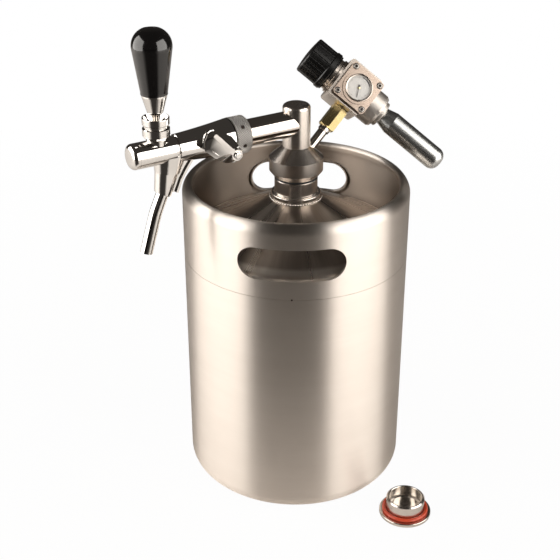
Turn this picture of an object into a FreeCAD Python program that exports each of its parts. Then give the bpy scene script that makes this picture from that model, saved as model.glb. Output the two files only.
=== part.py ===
import FreeCAD, Part
import Sketcher
import math
import os

# Mini keg beer dispenser: a steel keg, a screw-in head, a tap with flow control and a gas regulator.
# Millimetres. The origin is on the keg's axis at the floor, +Z is up, the hand slots lie on +Y and -Y.

# Driving sizes, each set by itself. Angles end in _angle, _turn, _heading or _tilt and are in degrees.
SIZES = {
    # Keg sheet work
    "keg_radius": 90.0,
    "keg_height": 258.0,
    "keg_wall": 1.0,
    "seam_height": 197.7,
    "seam_gap": 0.3,
    "base_corner": 13.0,
    "foot_width": 14.0,
    "foot_dish": 5.0,
    "foot_slope": 7.0,
    "collar_wall": 1.2,
    "rim_shoulder": 10.0,
    "rim_turn": 50.0,
    "rim_roll": 3.0,
    "rim_lip": 2.5,
    "slot_length": 81.0,
    "slot_height": 25.8,
    "slot_middle": 225.9,
    "slot_lip_wall": 1.0,
    "slot_lip_depth": 2.6,
    "dome_join_height": 201.0,
    "dome_skirt": 9.0,
    "dome_knuckle": 14.0,
    "dome_slope_angle": 26.3,
    "neck_radius": 17.05,
    "neck_bore_radius": 15.6,
    "neck_top": 260.0,
    "neck_length": 24.0,
    "weld_ring_radius": 19.95,
    "weld_ring_height": 4.5,
    # Screw-in head
    "seat_height": 261.4,
    "band_low": 266.6,
    "band_high": 277.0,
    "band_radius": 21.2,
    "cone_top": 286.3,
    "post_radius": 10.85,
    "post_top": 319.8,
    "post_round": 3.0,
    "plug_length": 14.0,
    "gas_room_radius": 12.5,
    "gas_room_top": 275.5,
    "dip_radius": 4.0,
    "dip_wall": 0.8,
    "dip_socket_top": 268.0,
    "dip_floor_gap": 6.0,
    "beer_bore_radius": 3.2,
    # Tap: distances along its axis are from the keg's axis
    "tap_height": 304.7,
    "tap_heading": 214.3,
    "shank_radius": 10.25,
    "shank_bore_radius": 5.0,
    "shank_flange_radius": 12.9,
    "shank_flange": 2.8,
    "nut_rear": 46.8,
    "nut_front": 60.0,
    "nut_radius": 14.4,
    "nut_thread_radius": 13.35,
    "nut_web": 3.2,
    "nut_holes": 6.0,
    "nut_hole_radius": 1.6,
    "tap_washer": 1.2,
    "inlet_radius": 14.2,
    "inlet_end": 104.0,
    "inlet_end_radius": 10.3,
    "inlet_curve": 600.0,
    "groove_radius": 8.6,
    "groove_width": 1.5,
    "barrel_radius": 9.6,
    "barrel_end": 135.6,
    "front_end": 141.3,
    "inlet_bore_radius": 7.0,
    "seat_face": 100.0,
    "seat_bore_radius": 4.3,
    "seat_depth": 3.5,
    "chamber_radius": 6.3,
    "cap_thread_radius": 7.2,
    "cap_thread": 5.0,
    "front_bead": 0.5,
    # Handle and its lever
    "lever_position": 118.6,
    "pivot_rise": 14.5,
    "lever_ball_radius": 5.2,
    "lever_rod_radius": 2.4,
    "lever_tip_radius": 2.9,
    "boss_radius": 10.05,
    "boss_low": 13.0,
    "boss_rise": 18.8,
    "boss_bore_radius": 8.0,
    "boss_foot_radius": 7.4,
    "bonnet_radius": 10.0,
    "bonnet_gap": 2.4,
    "bonnet_neck_radius": 8.9,
    "bonnet_top": 26.6,
    "ferrule_low": 29.7,
    "ferrule_top": 43.5,
    "ferrule_low_radius": 5.8,
    "ferrule_top_radius": 9.2,
    "grip_top": 90.5,
    "grip_low_radius": 9.8,
    "grip_wide_radius": 14.3,
    "grip_wide_rise": 76.0,
    "grip_dome": 9.0,
    # Tap shaft
    "shaft_radius": 2.6,
    "shaft_guide_radius": 6.2,
    "washer_radius": 5.6,
    "washer_width": 3.0,
    # Spout
    "spout_position": 111.2,
    "spout_radius": 4.75,
    "spout_wall": 0.9,
    "spout_bend_position": 122.6,
    "spout_bend_drop": 46.9,
    "spout_tip_position": 131.9,
    "spout_tip_drop": 77.5,
    "spout_top_drop": 22.0,
    "spout_bend_radius": 80.0,
    "socket_wall": 1.7,
    "socket_drop": 33.0,
    "saddle_drop": 17.0,
    "web_width": 3.4,
    "strap_width": 7.0,
    # Flow control
    "flow_position": 63.9,
    "flow_drop": 7.0,
    "flow_boss_radius": 7.6,
    "flow_boss_reach": 14.4,
    "flow_shaft_radius": 3.5,
    "flow_hub_radius": 5.0,
    "flow_lever_reach": 20.5,
    "flow_lever_length": 31.0,
    "flow_lever_angle": 48.0,
    "flow_throw": 2.2,
    "flow_pin_radius": 1.1,
    "flow_core_radius": 5.8,
    "flow_core_tip_radius": 3.2,
    "flow_core_length": 22.0,
    # Gas inlet on the cone
    "gas_heading": 40.0,
    "gas_tilt": 49.5,
    "gas_foot_radius": 15.2,
    "gas_stem_radius": 3.85,
    "gas_stem_bore_radius": 1.5,
    "gas_collar_radius": 4.7,
    "gas_collar_low": 14.3,
    "gas_collar_high": 17.4,
    "gas_nut_flats": 12.3,
    "gas_nut_low": 17.9,
    # Regulator: distances are from where the gas stem's line meets the knob's axis
    "regulator_reach": 54.8,
    "regulator_turn": 36.7,
    "block_left": 17.4,
    "block_right": 12.8,
    "block_half_height": 17.0,
    "block_half_depth": 14.6,
    "block_round": 2.5,
    "plate_half": 15.0,
    "plate_thickness": 3.2,
    "screw_pitch": 23.8,
    "screw_radius": 2.3,
    "gauge_radius": 10.9,
    "gauge_rim": 1.0,
    "gauge_depth": 7.0,
    "gauge_proud": 1.8,
    "knob_radius": 16.1,
    "knob_end": 47.2,
    "knob_open": 22.6,
    "knob_wall": 1.8,
    "knob_flutes": 24.0,
    "bonnet_thread_radius": 13.6,
    "spring_bore_radius": 8.5,
    "collar_radius": 14.2,
    "collar_end": 26.0,
    "collar_lip_radius": 10.6,
    "collar_lip_end": 29.3,
    "cartridge_radius": 9.2,
    "cartridge_neck_radius": 4.4,
    "cartridge_mouth": 13.5,
    "cartridge_shoulder": 27.0,
    "cartridge_full": 39.0,
    "cartridge_tip": 90.0,
    # Spare cap standing on the floor
    "cap_x": 94.2,
    "cap_y": -85.9,
    "cap_flange_radius": 21.0,
    "cap_flange": 3.2,
    "cap_height": 15.6,
    "cap_bore_radius": 13.3,
    # Clearances
    "weld_gap": 0.1,
    "run_gap": 0.05,
    "clear_gap": 0.3,
}


# A size knows its number and the sheet expression that it came from.
class Size:
    def __init__(self, number, words):
        self.number = float(number)
        self.words = words

    def __add__(self, other):
        other = as_size(other)
        return Size(self.number + other.number, "(" + self.words + " + " + other.words + ")")

    def __sub__(self, other):
        other = as_size(other)
        return Size(self.number - other.number, "(" + self.words + " - " + other.words + ")")

    def __mul__(self, other):
        other = as_size(other)
        return Size(self.number * other.number, "(" + self.words + " * " + other.words + ")")

    def __truediv__(self, other):
        other = as_size(other)
        return Size(self.number / other.number, "(" + self.words + " / " + other.words + ")")

    def __radd__(self, other):
        return as_size(other) + self

    def __rsub__(self, other):
        return as_size(other) - self

    def __rmul__(self, other):
        return as_size(other) * self

    def __neg__(self):
        return as_size(0) - self


def as_size(value):
    return value if isinstance(value, Size) else Size(value, repr(float(value)))


def cosine(angle):
    return Size(math.cos(math.radians(angle.number)), "cos(" + angle.words + " * 1deg)")


def sine(angle):
    return Size(math.sin(math.radians(angle.number)), "sin(" + angle.words + " * 1deg)")


def tangent(angle):
    return Size(math.tan(math.radians(angle.number)), "tan(" + angle.words + " * 1deg)")


def root(value):
    return Size(math.sqrt(value.number), "sqrt(" + value.words + ")")


class Sheet:
    pass


doc = FreeCAD.newDocument("mini_keg_dispenser")
table = doc.addObject("Spreadsheet::Sheet", "Sizes")
d = Sheet()
for row, (name, number) in enumerate(SIZES.items(), start=1):
    table.set("A" + str(row), name)
    table.set("B" + str(row), repr(number))
    table.setAlias("B" + str(row), name)
    setattr(d, name, Size(number, "Sizes." + name))
doc.recompute()

pieces = []
V = FreeCAD.Vector
X = V(1, 0, 0)
Y = V(0, 1, 0)
Z = V(0, 0, 1)


def shift(x=0, y=0, z=0):
    return FreeCAD.Placement(V(x, y, z), FreeCAD.Rotation())


def turn(axis, angle):
    return FreeCAD.Placement(V(), FreeCAD.Rotation(axis, angle))


def piece(thing, label, frame):
    """Give a finished sub-part its name and its place."""
    thing.Label = label
    thing.Placement = frame
    pieces.append(thing)
    return thing


def bind(thing, **values):
    for name, value in values.items():
        value = as_size(value)
        setattr(thing, name, value.number)
        thing.setExpression(name, value.words)


def body_plane(body, role):
    return [plane for plane in body.Origin.OriginFeatures if plane.Role == role][0]


def new_sketch(body, role, name, offset=None):
    sketch = body.newObject("Sketcher::SketchObject", name)
    sketch.AttachmentSupport = (body_plane(body, role), "")
    sketch.MapMode = "FlatFace"
    if offset is not None:
        sketch.AttachmentOffset = shift(0, 0, offset.number)
        sketch.setExpression("AttachmentOffset.Base.z", offset.words)
    return sketch


def hold_one(sketch, edge, end, kind, value):
    """Fix one distance of a sketch point from the origin."""
    value = as_size(value)
    index = sketch.addConstraint(Sketcher.Constraint(kind, -1, 1, edge, end, value.number))
    name = kind[-1].lower() + "_of_" + str(edge) + "_" + str(end)
    sketch.renameConstraint(index, name)
    sketch.setExpression("Constraints." + name, value.words)


def hold(sketch, edge, end, across, up):
    """Fix one point of a sketch by its two distances from the origin."""
    hold_one(sketch, edge, end, "DistanceX", across)
    hold_one(sketch, edge, end, "DistanceY", up)


def arc_through(start, end, radius):
    """An arc from start to end; a positive radius turns left on the way, a negative one right."""
    chord = end - start
    half = chord.Length / 2
    side = V(-chord.y, chord.x, 0).normalize() * (1 if radius > 0 else -1)
    rise = math.sqrt(max(radius * radius - half * half, 0))
    middle = (start + end) * 0.5 + side * rise
    peak = middle - side * abs(radius)
    return Part.Arc(start, peak, end)


def outline(sketch, corners):
    """Draw a closed outline. A corner is (across, up), or (across, up, radius) to reach the next by an arc."""
    count = len(corners)
    points = [V(as_size(c[0]).number, as_size(c[1]).number, 0) for c in corners]
    first = sketch.GeometryCount
    for i, corner in enumerate(corners):
        start = points[i]
        end = points[(i + 1) % count]
        if len(corner) == 3:
            sketch.addGeometry(arc_through(start, end, corner[2].number), False)
        else:
            sketch.addGeometry(Part.LineSegment(start, end), False)
    # An arc that turns right is stored the other way round, so its ends change places.
    ends = []
    for i, corner in enumerate(corners):
        flipped = len(corner) == 3 and corner[2].number < 0
        ends.append((2, 1) if flipped else (1, 2))
    for i in range(count):
        j = (i + 1) % count
        joint = Sketcher.Constraint("Coincident", first + i, ends[i][1], first + j, ends[j][0])
        sketch.addConstraint(joint)
    for i, corner in enumerate(corners):
        hold(sketch, first + i, ends[i][0], corner[0], corner[1])
        chord = points[(i + 1) % count] - points[i]
        if len(corner) == 3 and abs(chord.Length - 2 * abs(corner[2].number)) < 1e-6:
            # A half circle is held by its centre, which lies on the line between its ends.
            kind = "DistanceX" if abs(chord.x) < 1e-6 else "DistanceY"
            value = corner[0] if kind == "DistanceX" else corner[1]
            hold_one(sketch, first + i, 3, kind, value)
        elif len(corner) == 3:
            size = corner[2] if corner[2].number > 0 else -corner[2]
            index = sketch.addConstraint(Sketcher.Constraint("Radius", first + i, size.number))
            name = "radius_of_" + str(first + i)
            sketch.renameConstraint(index, name)
            sketch.setExpression("Constraints." + name, size.words)


def round_hole(sketch, across, up, radius):
    index = sketch.addGeometry(Part.Circle(V(as_size(across).number, as_size(up).number, 0), Z,
                                           radius.number), False)
    hold(sketch, index, 3, across, up)
    rule = sketch.addConstraint(Sketcher.Constraint("Radius", index, radius.number))
    name = "radius_of_" + str(index)
    sketch.renameConstraint(rule, name)
    sketch.setExpression("Constraints." + name, radius.words)


def body(name):
    return doc.addObject("PartDesign::Body", name)


def spin(thing, corners, name="profile"):
    """Revolve an outline, given as distance from the axis and height, about the body's Z axis."""
    sketch = new_sketch(thing, "XZ_Plane", thing.Name + "_" + name)
    outline(sketch, corners)
    made = thing.newObject("PartDesign::Revolution", thing.Name + "_turned")
    made.Profile = sketch
    made.ReferenceAxis = (sketch, ["V_Axis"])
    made.Angle = 360
    sketch.Visibility = False
    return made


def bore_out(thing, corners, name="bore"):
    """Revolve an outline about the body's Z axis and take it away."""
    sketch = new_sketch(thing, "XZ_Plane", thing.Name + "_" + name)
    outline(sketch, corners)
    made = thing.newObject("PartDesign::Groove", thing.Name + "_" + name + "_cut")
    made.Profile = sketch
    made.ReferenceAxis = (sketch, ["V_Axis"])
    made.Angle = 360
    return made


def turned(label, corners, frame):
    """A turned sub-part: one revolved outline."""
    thing = body(label)
    spin(thing, corners)
    return piece(thing, label, frame)


def cylinder(name, radius, height, frame):
    made = doc.addObject("Part::Cylinder", name)
    bind(made, Radius=radius, Height=height)
    made.Placement = frame
    return made


def ball(name, radius, frame):
    made = doc.addObject("Part::Sphere", name)
    bind(made, Radius=radius)
    made.Placement = frame
    return made


def box(name, length, width, height, frame):
    made = doc.addObject("Part::Box", name)
    bind(made, Length=length, Width=width, Height=height)
    made.Placement = frame
    return made


def cut(name, base, *tools):
    made = doc.addObject("Part::Cut", name)
    made.Base = base
    made.Tool = tools[0] if len(tools) == 1 else fuse(name + "_tools", *tools)
    return made


def fuse(name, *things):
    made = doc.addObject("Part::MultiFuse", name)
    made.Shapes = list(things)
    return made


def common(name, *things):
    made = doc.addObject("Part::MultiCommon", name)
    made.Shapes = list(things)
    return made


def prism(name, corners, depth, frame, role="XZ_Plane"):
    """A plate: an outline in the body's plane, padded evenly to both sides."""
    thing = body(name)
    sketch = new_sketch(thing, role, name + "_outline")
    outline(sketch, corners)
    pad = thing.newObject("PartDesign::Pad", name + "_pad")
    pad.Profile = sketch
    bind(pad, Length=depth)
    pad.Midplane = True
    thing.Placement = frame
    return thing


# Frames. The tap frame's X runs outward along the tap, its Z is up. Turned tap pieces use tap_axis,
# whose Z is the tap's axis. The gas frame's Z is the stem, the regulator frame's X is the cartridge.
keg_frame = shift()
tap_frame = turn(Z, d.tap_heading.number) * shift(z=d.tap_height.number)
tap_axis = tap_frame * turn(Y, 90)
lever_frame = tap_frame * shift(x=d.lever_position.number)
pivot_frame = lever_frame * shift(z=d.pivot_rise.number)
flow_frame = tap_frame * shift(x=d.flow_position.number, z=-d.flow_drop.number) * turn(X, -90)

cone_slope = (d.cone_top - d.band_high) / (d.band_radius - d.post_radius)
gas_foot_height = d.cone_top - (d.gas_foot_radius - d.post_radius) * cone_slope
gas_frame = (turn(Z, d.gas_heading.number) * shift(x=d.gas_foot_radius.number, z=gas_foot_height.number)
             * turn(Y, d.gas_tilt.number))
regulator_frame = gas_frame * shift(z=d.regulator_reach.number) * turn(Z, -d.regulator_turn.number)
regulator_axis = regulator_frame * turn(Y, 90)
gauge_frame = regulator_frame * turn(X, 90)
cap_frame = shift(d.cap_x.number, d.cap_y.number, 0)


def crown(across, rise):
    """Radius of a shallow dome centred on the axis, from its half width and its rise."""
    return (across * across + rise * rise) / (rise * 2)


def offset_along(slope_angle, thickness):
    """How far apart in height two faces of a sloping sheet are."""
    return thickness / cosine(slope_angle)


def make_keg_body():
    """Straight can with a rounded bottom edge, a flat foot ring and a dished middle."""
    wall = d.keg_wall
    radius = d.keg_radius
    corner = d.base_corner
    inner = radius - wall
    foot_outer = radius - corner
    foot_inner = foot_outer - d.foot_width
    dish_edge = foot_inner - d.foot_slope
    top = d.seam_height
    turned("keg_body", [
        (0, d.foot_dish), (dish_edge, d.foot_dish), (foot_inner, 0), (foot_outer, 0, corner),
        (radius, corner), (radius, top), (inner, top), (inner, corner, -(corner - wall)),
        (foot_outer, wall), (foot_inner, wall), (dish_edge, d.foot_dish + wall), (0, d.foot_dish + wall),
    ], keg_frame)


def rim_corners(wall):
    """Outer skin of the rolled rim from the straight wall to the inner lip, set in by a wall."""
    shoulder = d.rim_shoulder
    roll = d.rim_roll
    start = d.keg_height - roll - (shoulder - roll) * sine(d.rim_turn)
    middle = d.keg_radius - shoulder
    roll_across = middle + (shoulder - roll) * cosine(d.rim_turn)
    roll_up = start + (shoulder - roll) * sine(d.rim_turn)
    outer = shoulder - wall
    turn_across = middle + outer * cosine(d.rim_turn)
    turn_up = start + outer * sine(d.rim_turn)
    small = roll - wall
    return start, outer, small, (turn_across, turn_up), (roll_across - small, roll_up)


def stadium(length, height, across, up):
    """A slot's outline with round ends."""
    end = height / 2
    flat = length / 2 - end
    return [(across - flat, up - end), (across + flat, up - end, end), (across + flat, up + end),
            (across - flat, up + end, end)]


def make_top_collar():
    """Carrying collar: a sheet ring with a rolled rim and two hand slots, their edges turned in."""
    wall = d.collar_wall
    none = as_size(0)
    start, outer, small, bend, lip = rim_corners(none)
    _, outer_in, small_in, bend_in, lip_in = rim_corners(wall)
    low = d.seam_height + d.seam_gap
    ring = body("collar_ring")
    spin(ring, [
        (d.keg_radius, low), (d.keg_radius, start, outer), (bend[0], bend[1], small),
        (lip[0], lip[1]), (lip[0], lip[1] - d.rim_lip), (lip_in[0], lip[1] - d.rim_lip),
        (lip_in[0], lip_in[1], -small_in), (bend_in[0], bend_in[1], -outer_in),
        (d.keg_radius - wall, start), (d.keg_radius - wall, low),
    ])
    lip_wall = d.slot_lip_wall
    through = d.keg_radius * 3
    outside = prism("slot_edge_outside", stadium(d.slot_length + lip_wall * 2, d.slot_height + lip_wall * 2,
                                                 as_size(0), d.slot_middle), through, keg_frame)
    inside = prism("slot_opening", stadium(d.slot_length, d.slot_height, as_size(0), d.slot_middle),
                   through, keg_frame)
    band = body("slot_edge_band")
    band_out = d.keg_radius
    band_in = d.keg_radius - wall - d.slot_lip_depth
    spin(band, [(band_in, low), (band_out, low), (band_out, start), (band_in, start)])
    edges = common("slot_edges", outside, band)
    whole = fuse("collar_with_edges", ring, edges)
    piece(cut("top_collar", whole, inside), "top_collar", keg_frame)


def dome_height(radius, below=None):
    """Height of the dome's cone at a radius, on the outside or on a face below it."""
    centre = d.keg_radius - d.collar_wall - d.weld_gap - d.dome_knuckle
    edge = centre + d.dome_knuckle * sine(d.dome_slope_angle)
    edge_up = d.dome_join_height + d.dome_knuckle * cosine(d.dome_slope_angle)
    height = edge_up + (edge - radius) * tangent(d.dome_slope_angle)
    return height if below is None else height - offset_along(d.dome_slope_angle, below)


def make_keg_dome():
    """Pressed lid of the keg: a skirt inside the seam, a rounded knuckle and a shallow cone."""
    wall = d.keg_wall
    slope = d.dome_slope_angle
    outer = d.keg_radius - d.collar_wall - d.weld_gap
    centre = outer - d.dome_knuckle
    join = d.dome_join_height
    low = join - d.dome_skirt
    hole = d.neck_radius + d.weld_gap
    inner_knuckle = d.dome_knuckle - wall
    turned("keg_dome", [
        (outer - wall, low), (outer, low), (outer, join, d.dome_knuckle),
        (centre + d.dome_knuckle * sine(slope), join + d.dome_knuckle * cosine(slope)),
        (hole, dome_height(hole)), (hole, dome_height(hole, wall)),
        (centre + inner_knuckle * sine(slope), join + inner_knuckle * cosine(slope), -inner_knuckle),
        (outer - wall, join),
    ], keg_frame)


def make_neck_fitting():
    """Welded neck that the head screws into, with the weld ring on the dome."""
    radius = d.neck_radius
    ring = d.weld_ring_radius
    foot = dome_height(radius)
    ring_foot = dome_height(ring) + d.weld_gap
    ring_top = ring_foot + d.weld_ring_height
    bottom = d.neck_top - d.neck_length
    soft = as_size(1.2)
    turned("neck_fitting", [
        (d.neck_bore_radius, bottom), (radius, bottom), (radius, foot + d.weld_gap),
        (ring, ring_foot), (ring, ring_top - soft, soft), (ring - soft, ring_top),
        (radius + 0.6, ring_top), (radius, ring_top + 0.6), (radius, d.neck_top - 0.6),
        (radius - 0.6, d.neck_top), (d.neck_bore_radius + 0.5, d.neck_top),
        (d.neck_bore_radius, d.neck_top - 0.5),
    ], keg_frame)


def make_head_body():
    """Turned head: threaded plug, band, cone and post, bored for beer in the middle and gas round it."""
    plug = d.neck_bore_radius - d.run_gap
    bottom = d.seat_height - d.plug_length
    socket = d.dip_radius + d.run_gap
    core = socket + 1.6
    thing = body("head_turned")
    spin(thing, [
        (socket, bottom), (core, bottom), (core, d.gas_room_top), (d.gas_room_radius, d.gas_room_top),
        (d.gas_room_radius, bottom), (plug - 0.8, bottom), (plug, bottom + 0.8), (plug, d.seat_height),
        (d.neck_radius, d.seat_height), (d.band_radius, d.band_low), (d.band_radius, d.band_high),
        (d.post_radius, d.cone_top), (d.post_radius, d.post_top - d.post_round, d.post_round),
        (d.post_radius - d.post_round, d.post_top), (0, d.post_top + 0.4), (0, d.tap_height),
        (d.beer_bore_radius, d.tap_height), (d.beer_bore_radius, d.dip_socket_top),
        (socket, d.dip_socket_top),
    ])
    cross = cylinder("beer_cross_bore", d.beer_bore_radius, d.post_radius + 1.0, tap_axis)
    gas_deep = as_size(11.5)
    gas_hole = cylinder("gas_cross_bore", d.gas_stem_bore_radius, gas_deep + 2.0,
                        gas_frame * shift(z=-gas_deep.number))
    piece(cut("head_block", thing, cross, gas_hole), "head_body", keg_frame)


def make_head_seal():
    """Flat silicone ring squeezed between the neck's lip and the head."""
    plug = d.neck_bore_radius
    turned("head_seal", [
        (plug + d.weld_gap, d.neck_top + d.clear_gap), (d.neck_radius - 0.3, d.neck_top + d.clear_gap, as_size(0.55)),
        (d.neck_radius - 0.3, d.seat_height - 0.02), (plug + d.weld_gap, d.seat_height - 0.02),
    ], keg_frame)


def make_dip_tube():
    """Pickup tube from the head's socket almost to the floor of the keg."""
    low = d.foot_dish + d.keg_wall + d.dip_floor_gap
    turned("dip_tube", [
        (d.dip_radius - d.dip_wall, low), (d.dip_radius, low), (d.dip_radius, d.dip_socket_top - 0.2),
        (d.dip_radius - d.dip_wall, d.dip_socket_top - 0.2),
    ], keg_frame)


def make_shank_tube():
    """Beer tube welded to the post, with the flange that the knurled nut pulls on."""
    flange_face = d.nut_rear + d.nut_web + d.clear_gap
    end = flange_face + d.shank_flange
    thing = body("shank_turned")
    spin(thing, [
        (d.shank_bore_radius, 0), (d.shank_radius, 0), (d.shank_radius, flange_face),
        (d.shank_flange_radius, flange_face), (d.shank_flange_radius, end), (d.shank_bore_radius, end),
    ])
    thing.Placement = tap_axis
    post = cylinder("post_for_saddle", d.post_radius + d.weld_gap * 0.3, d.post_top, keg_frame)
    piece(cut("shank_cut", thing, post), "shank_tube", shift())


def make_coupling_nut():
    """Knurled nut that pulls the tap onto the shank, with spanner holes round it."""
    front = d.nut_front
    rear = d.nut_rear
    edge = 0.7
    thing = body("coupling_nut")
    spin(thing, [
        (d.shank_radius + d.clear_gap, rear), (d.nut_radius - edge, rear), (d.nut_radius, rear + edge),
        (d.nut_radius, front - edge), (d.nut_radius - edge, front), (d.nut_thread_radius, front),
        (d.nut_thread_radius, rear + d.nut_web), (d.shank_radius + d.clear_gap, rear + d.nut_web),
    ])
    middle = (rear + front) / 2
    sketch = new_sketch(thing, "YZ_Plane", "spanner_hole")
    round_hole(sketch, as_size(0), middle, d.nut_hole_radius)
    hole = thing.newObject("PartDesign::Pocket", "spanner_hole_cut")
    hole.Profile = sketch
    hole.Type = "Length"
    bind(hole, Length=d.nut_radius * 2)
    hole.Reversed = True
    around = thing.newObject("PartDesign::PolarPattern", "spanner_holes")
    around.Originals = [hole]
    around.Axis = (sketch, ["V_Axis"])
    around.Angle = 360
    around.Occurrences = int(d.nut_holes.number)
    thing.Tip = around
    piece(thing, "coupling_nut", tap_axis)


def make_tap_washer():
    low = d.nut_rear + d.nut_web + d.clear_gap + d.shank_flange
    turned("tap_washer", [
        (d.shank_bore_radius + 0.5, low), (d.shank_flange_radius - 0.4, low),
        (d.shank_flange_radius - 0.4, low + d.tap_washer), (d.shank_bore_radius + 0.5, low + d.tap_washer),
    ], tap_axis)


def tap_inlet_face():
    return d.nut_rear + d.nut_web + d.clear_gap + d.shank_flange + d.tap_washer


def spout_slope(low_position, low_drop, high_position, high_drop):
    return (low_position - high_position) / (low_drop - high_drop)


def loft(name, sections, frame):
    """A body lofted through round or oval sections, each (position, drop, half length, half width, tilt)."""
    thing = body(name)
    profiles = []
    for index, (position, drop, half_long, half_wide, tilt) in enumerate(sections):
        sketch = thing.newObject("Sketcher::SketchObject", name + "_section_" + str(index))
        sketch.AttachmentSupport = (body_plane(thing, "XY_Plane"), "")
        sketch.MapMode = "FlatFace"
        sketch.AttachmentOffset = FreeCAD.Placement(V(position.number, 0, -drop.number),
                                                    FreeCAD.Rotation(Y, -tilt.number))
        sketch.setExpression("AttachmentOffset.Base.x", position.words)
        sketch.setExpression("AttachmentOffset.Base.z", (-drop).words)
        long = half_long - half_wide
        outline(sketch, [(-long, -half_wide), (long, -half_wide, half_wide), (long, half_wide),
                         (-long, half_wide, half_wide)])
        profiles.append(sketch)
    made = thing.newObject("PartDesign::AdditiveLoft", name + "_loft")
    made.Profile = profiles[0]
    made.Sections = profiles[1:]
    made.Ruled = True
    thing.Placement = frame
    return thing


def tube_tilt():
    """Lean of the spout's upper run from straight down."""
    run = d.spout_bend_position - (d.spout_position - 0.1)
    drop = d.spout_bend_drop - d.spout_top_drop
    return Size(math.degrees(math.atan2(run.number, drop.number)), "")


def make_tap_body():
    """Tap casting: concave inlet cone, barrel, lever boss, spout socket with its web, and flow boss."""
    face = tap_inlet_face()
    groove = d.inlet_end + 0.6
    thread = d.nut_thread_radius - d.clear_gap
    flow_bore = shift(x=d.flow_position.number, z=-d.flow_drop.number) * turn(X, -90)
    outside = body("tap_outside")
    spin(outside, [
        (0, face), (thread, face), (thread, d.nut_front + d.clear_gap),
        (d.inlet_radius - 0.4, d.nut_front + d.clear_gap), (d.inlet_radius, d.nut_front + d.clear_gap + 0.4, -d.inlet_curve),
        (d.inlet_end_radius, d.inlet_end), (d.groove_radius, groove),
        (d.groove_radius, groove + d.groove_width), (d.barrel_radius, groove + d.groove_width + 0.6),
        (d.barrel_radius, d.barrel_end), (0, d.barrel_end),
    ])
    outside.Placement = turn(Y, 90)
    boss = body("lever_boss")
    spin(boss, [
        (0, 0), (d.boss_foot_radius, 0), (d.boss_foot_radius, d.boss_low - 3.0),
        (d.boss_radius, d.boss_low), (d.boss_radius, d.boss_rise - 0.5), (d.boss_radius - 0.5, d.boss_rise),
        (0, d.boss_rise),
    ])
    boss.Placement = shift(x=d.lever_position.number)
    saddle = loft("spout_saddle", [
        (d.spout_position - 2.6, as_size(3.0), as_size(12.6), as_size(8.8), as_size(0)),
        (d.spout_position - 1.2, as_size(10.5), as_size(11.2), as_size(7.9), as_size(4)),
        (d.spout_position + 0.4, d.saddle_drop, as_size(9.6), as_size(7.2), as_size(10)),
    ], shift())
    socket_radius = d.spout_radius + socket_gap() + d.socket_wall
    lean = tube_tilt()
    socket_position = d.spout_position - 0.1 + (d.socket_drop - d.spout_top_drop) * (
        (d.spout_bend_position - (d.spout_position - 0.1)) / (d.spout_bend_drop - d.spout_top_drop))
    socket = loft("spout_socket", [
        (d.spout_position + 0.6, d.saddle_drop - 1.0, as_size(9.2), as_size(6.9), as_size(10)),
        (socket_position, d.socket_drop, socket_radius + 0.01, socket_radius, lean),
    ], shift())
    start = d.spout_position - 20.0
    web = prism("socket_web", [
        (start, as_size(-10.5)), (start + 2.4, as_size(-13.6)), (start + 5.4, as_size(-17.8)),
        (start + 9.7, as_size(-24.6)), (start + 13.6, as_size(-33.9)), (start + 17.6, as_size(-33.0)),
        (start + 21.0, as_size(-20.0)), (start + 21.0, as_size(-4.0)), (start, as_size(-4.0)),
    ], d.web_width, shift())
    strap = prism("socket_strap", [
        (start, as_size(-10.5)), (start + 2.4, as_size(-13.6)), (start + 5.4, as_size(-17.8)),
        (start + 9.7, as_size(-24.6)), (start + 13.6, as_size(-33.9)), (start + 15.3, as_size(-33.3)),
        (start + 11.2, as_size(-23.8)), (start + 6.8, as_size(-16.8)), (start + 3.8, as_size(-12.6)),
        (start + 1.4, as_size(-9.4)),
    ], d.strap_width, shift())
    flow_boss = cylinder("flow_boss", d.flow_boss_radius, d.flow_boss_reach - 3.0,
                         flow_bore * shift(z=3.0))
    whole = fuse("tap_casting", outside, boss, saddle, socket, web, strap, flow_boss)
    bore = body("tap_bore")
    spin(bore, [
        (0, face - 1.0), (d.inlet_bore_radius, face - 1.0), (d.inlet_bore_radius, d.seat_face),
        (d.seat_bore_radius, d.seat_face), (d.seat_bore_radius, d.seat_face + d.seat_depth),
        (d.chamber_radius, d.seat_face + d.seat_depth), (d.chamber_radius, d.barrel_end - d.cap_thread),
        (d.cap_thread_radius, d.barrel_end - d.cap_thread), (d.cap_thread_radius, d.barrel_end + 1.0),
        (0, d.barrel_end + 1.0),
    ])
    bore.Placement = turn(Y, 90)
    lever_room = body("lever_room")
    seat_low = d.pivot_rise - 2.5
    spin(lever_room, [
        (0, 0), (d.chamber_radius - 0.2, 0), (d.chamber_radius - 0.2, seat_low), (d.boss_bore_radius, seat_low),
        (d.boss_bore_radius, d.boss_rise + 1.0), (0, d.boss_rise + 1.0),
    ])
    lever_room.Placement = shift(x=d.lever_position.number)
    outlet = cylinder("outlet_bore", as_size(3.9), as_size(25.0), shift(x=d.spout_position.number, z=-25))
    tube_hole = cylinder("tube_socket_bore", d.spout_radius + socket_gap(), as_size(30.0),
                         shift(d.spout_position.number - 0.1, 0, -d.spout_top_drop.number)
                         * turn(Y, 180 - tube_tilt().number))
    shaft_hole = cylinder("flow_shaft_bore", d.flow_shaft_radius + d.run_gap, d.flow_boss_reach,
                          flow_bore * shift(z=1.0))
    nut_room = body("nut_room")
    spin(nut_room, [
        (thread, face - 2.0), (d.nut_radius * 2, face - 2.0), (d.nut_radius * 2, d.nut_front + d.clear_gap),
        (thread, d.nut_front + d.clear_gap),
    ])
    nut_room.Placement = turn(Y, 90)
    piece(cut("tap_block", whole, bore, lever_room, outlet, tube_hole, shaft_hole, nut_room), "tap_body", tap_frame)


def socket_gap():
    return d.weld_gap


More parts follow.
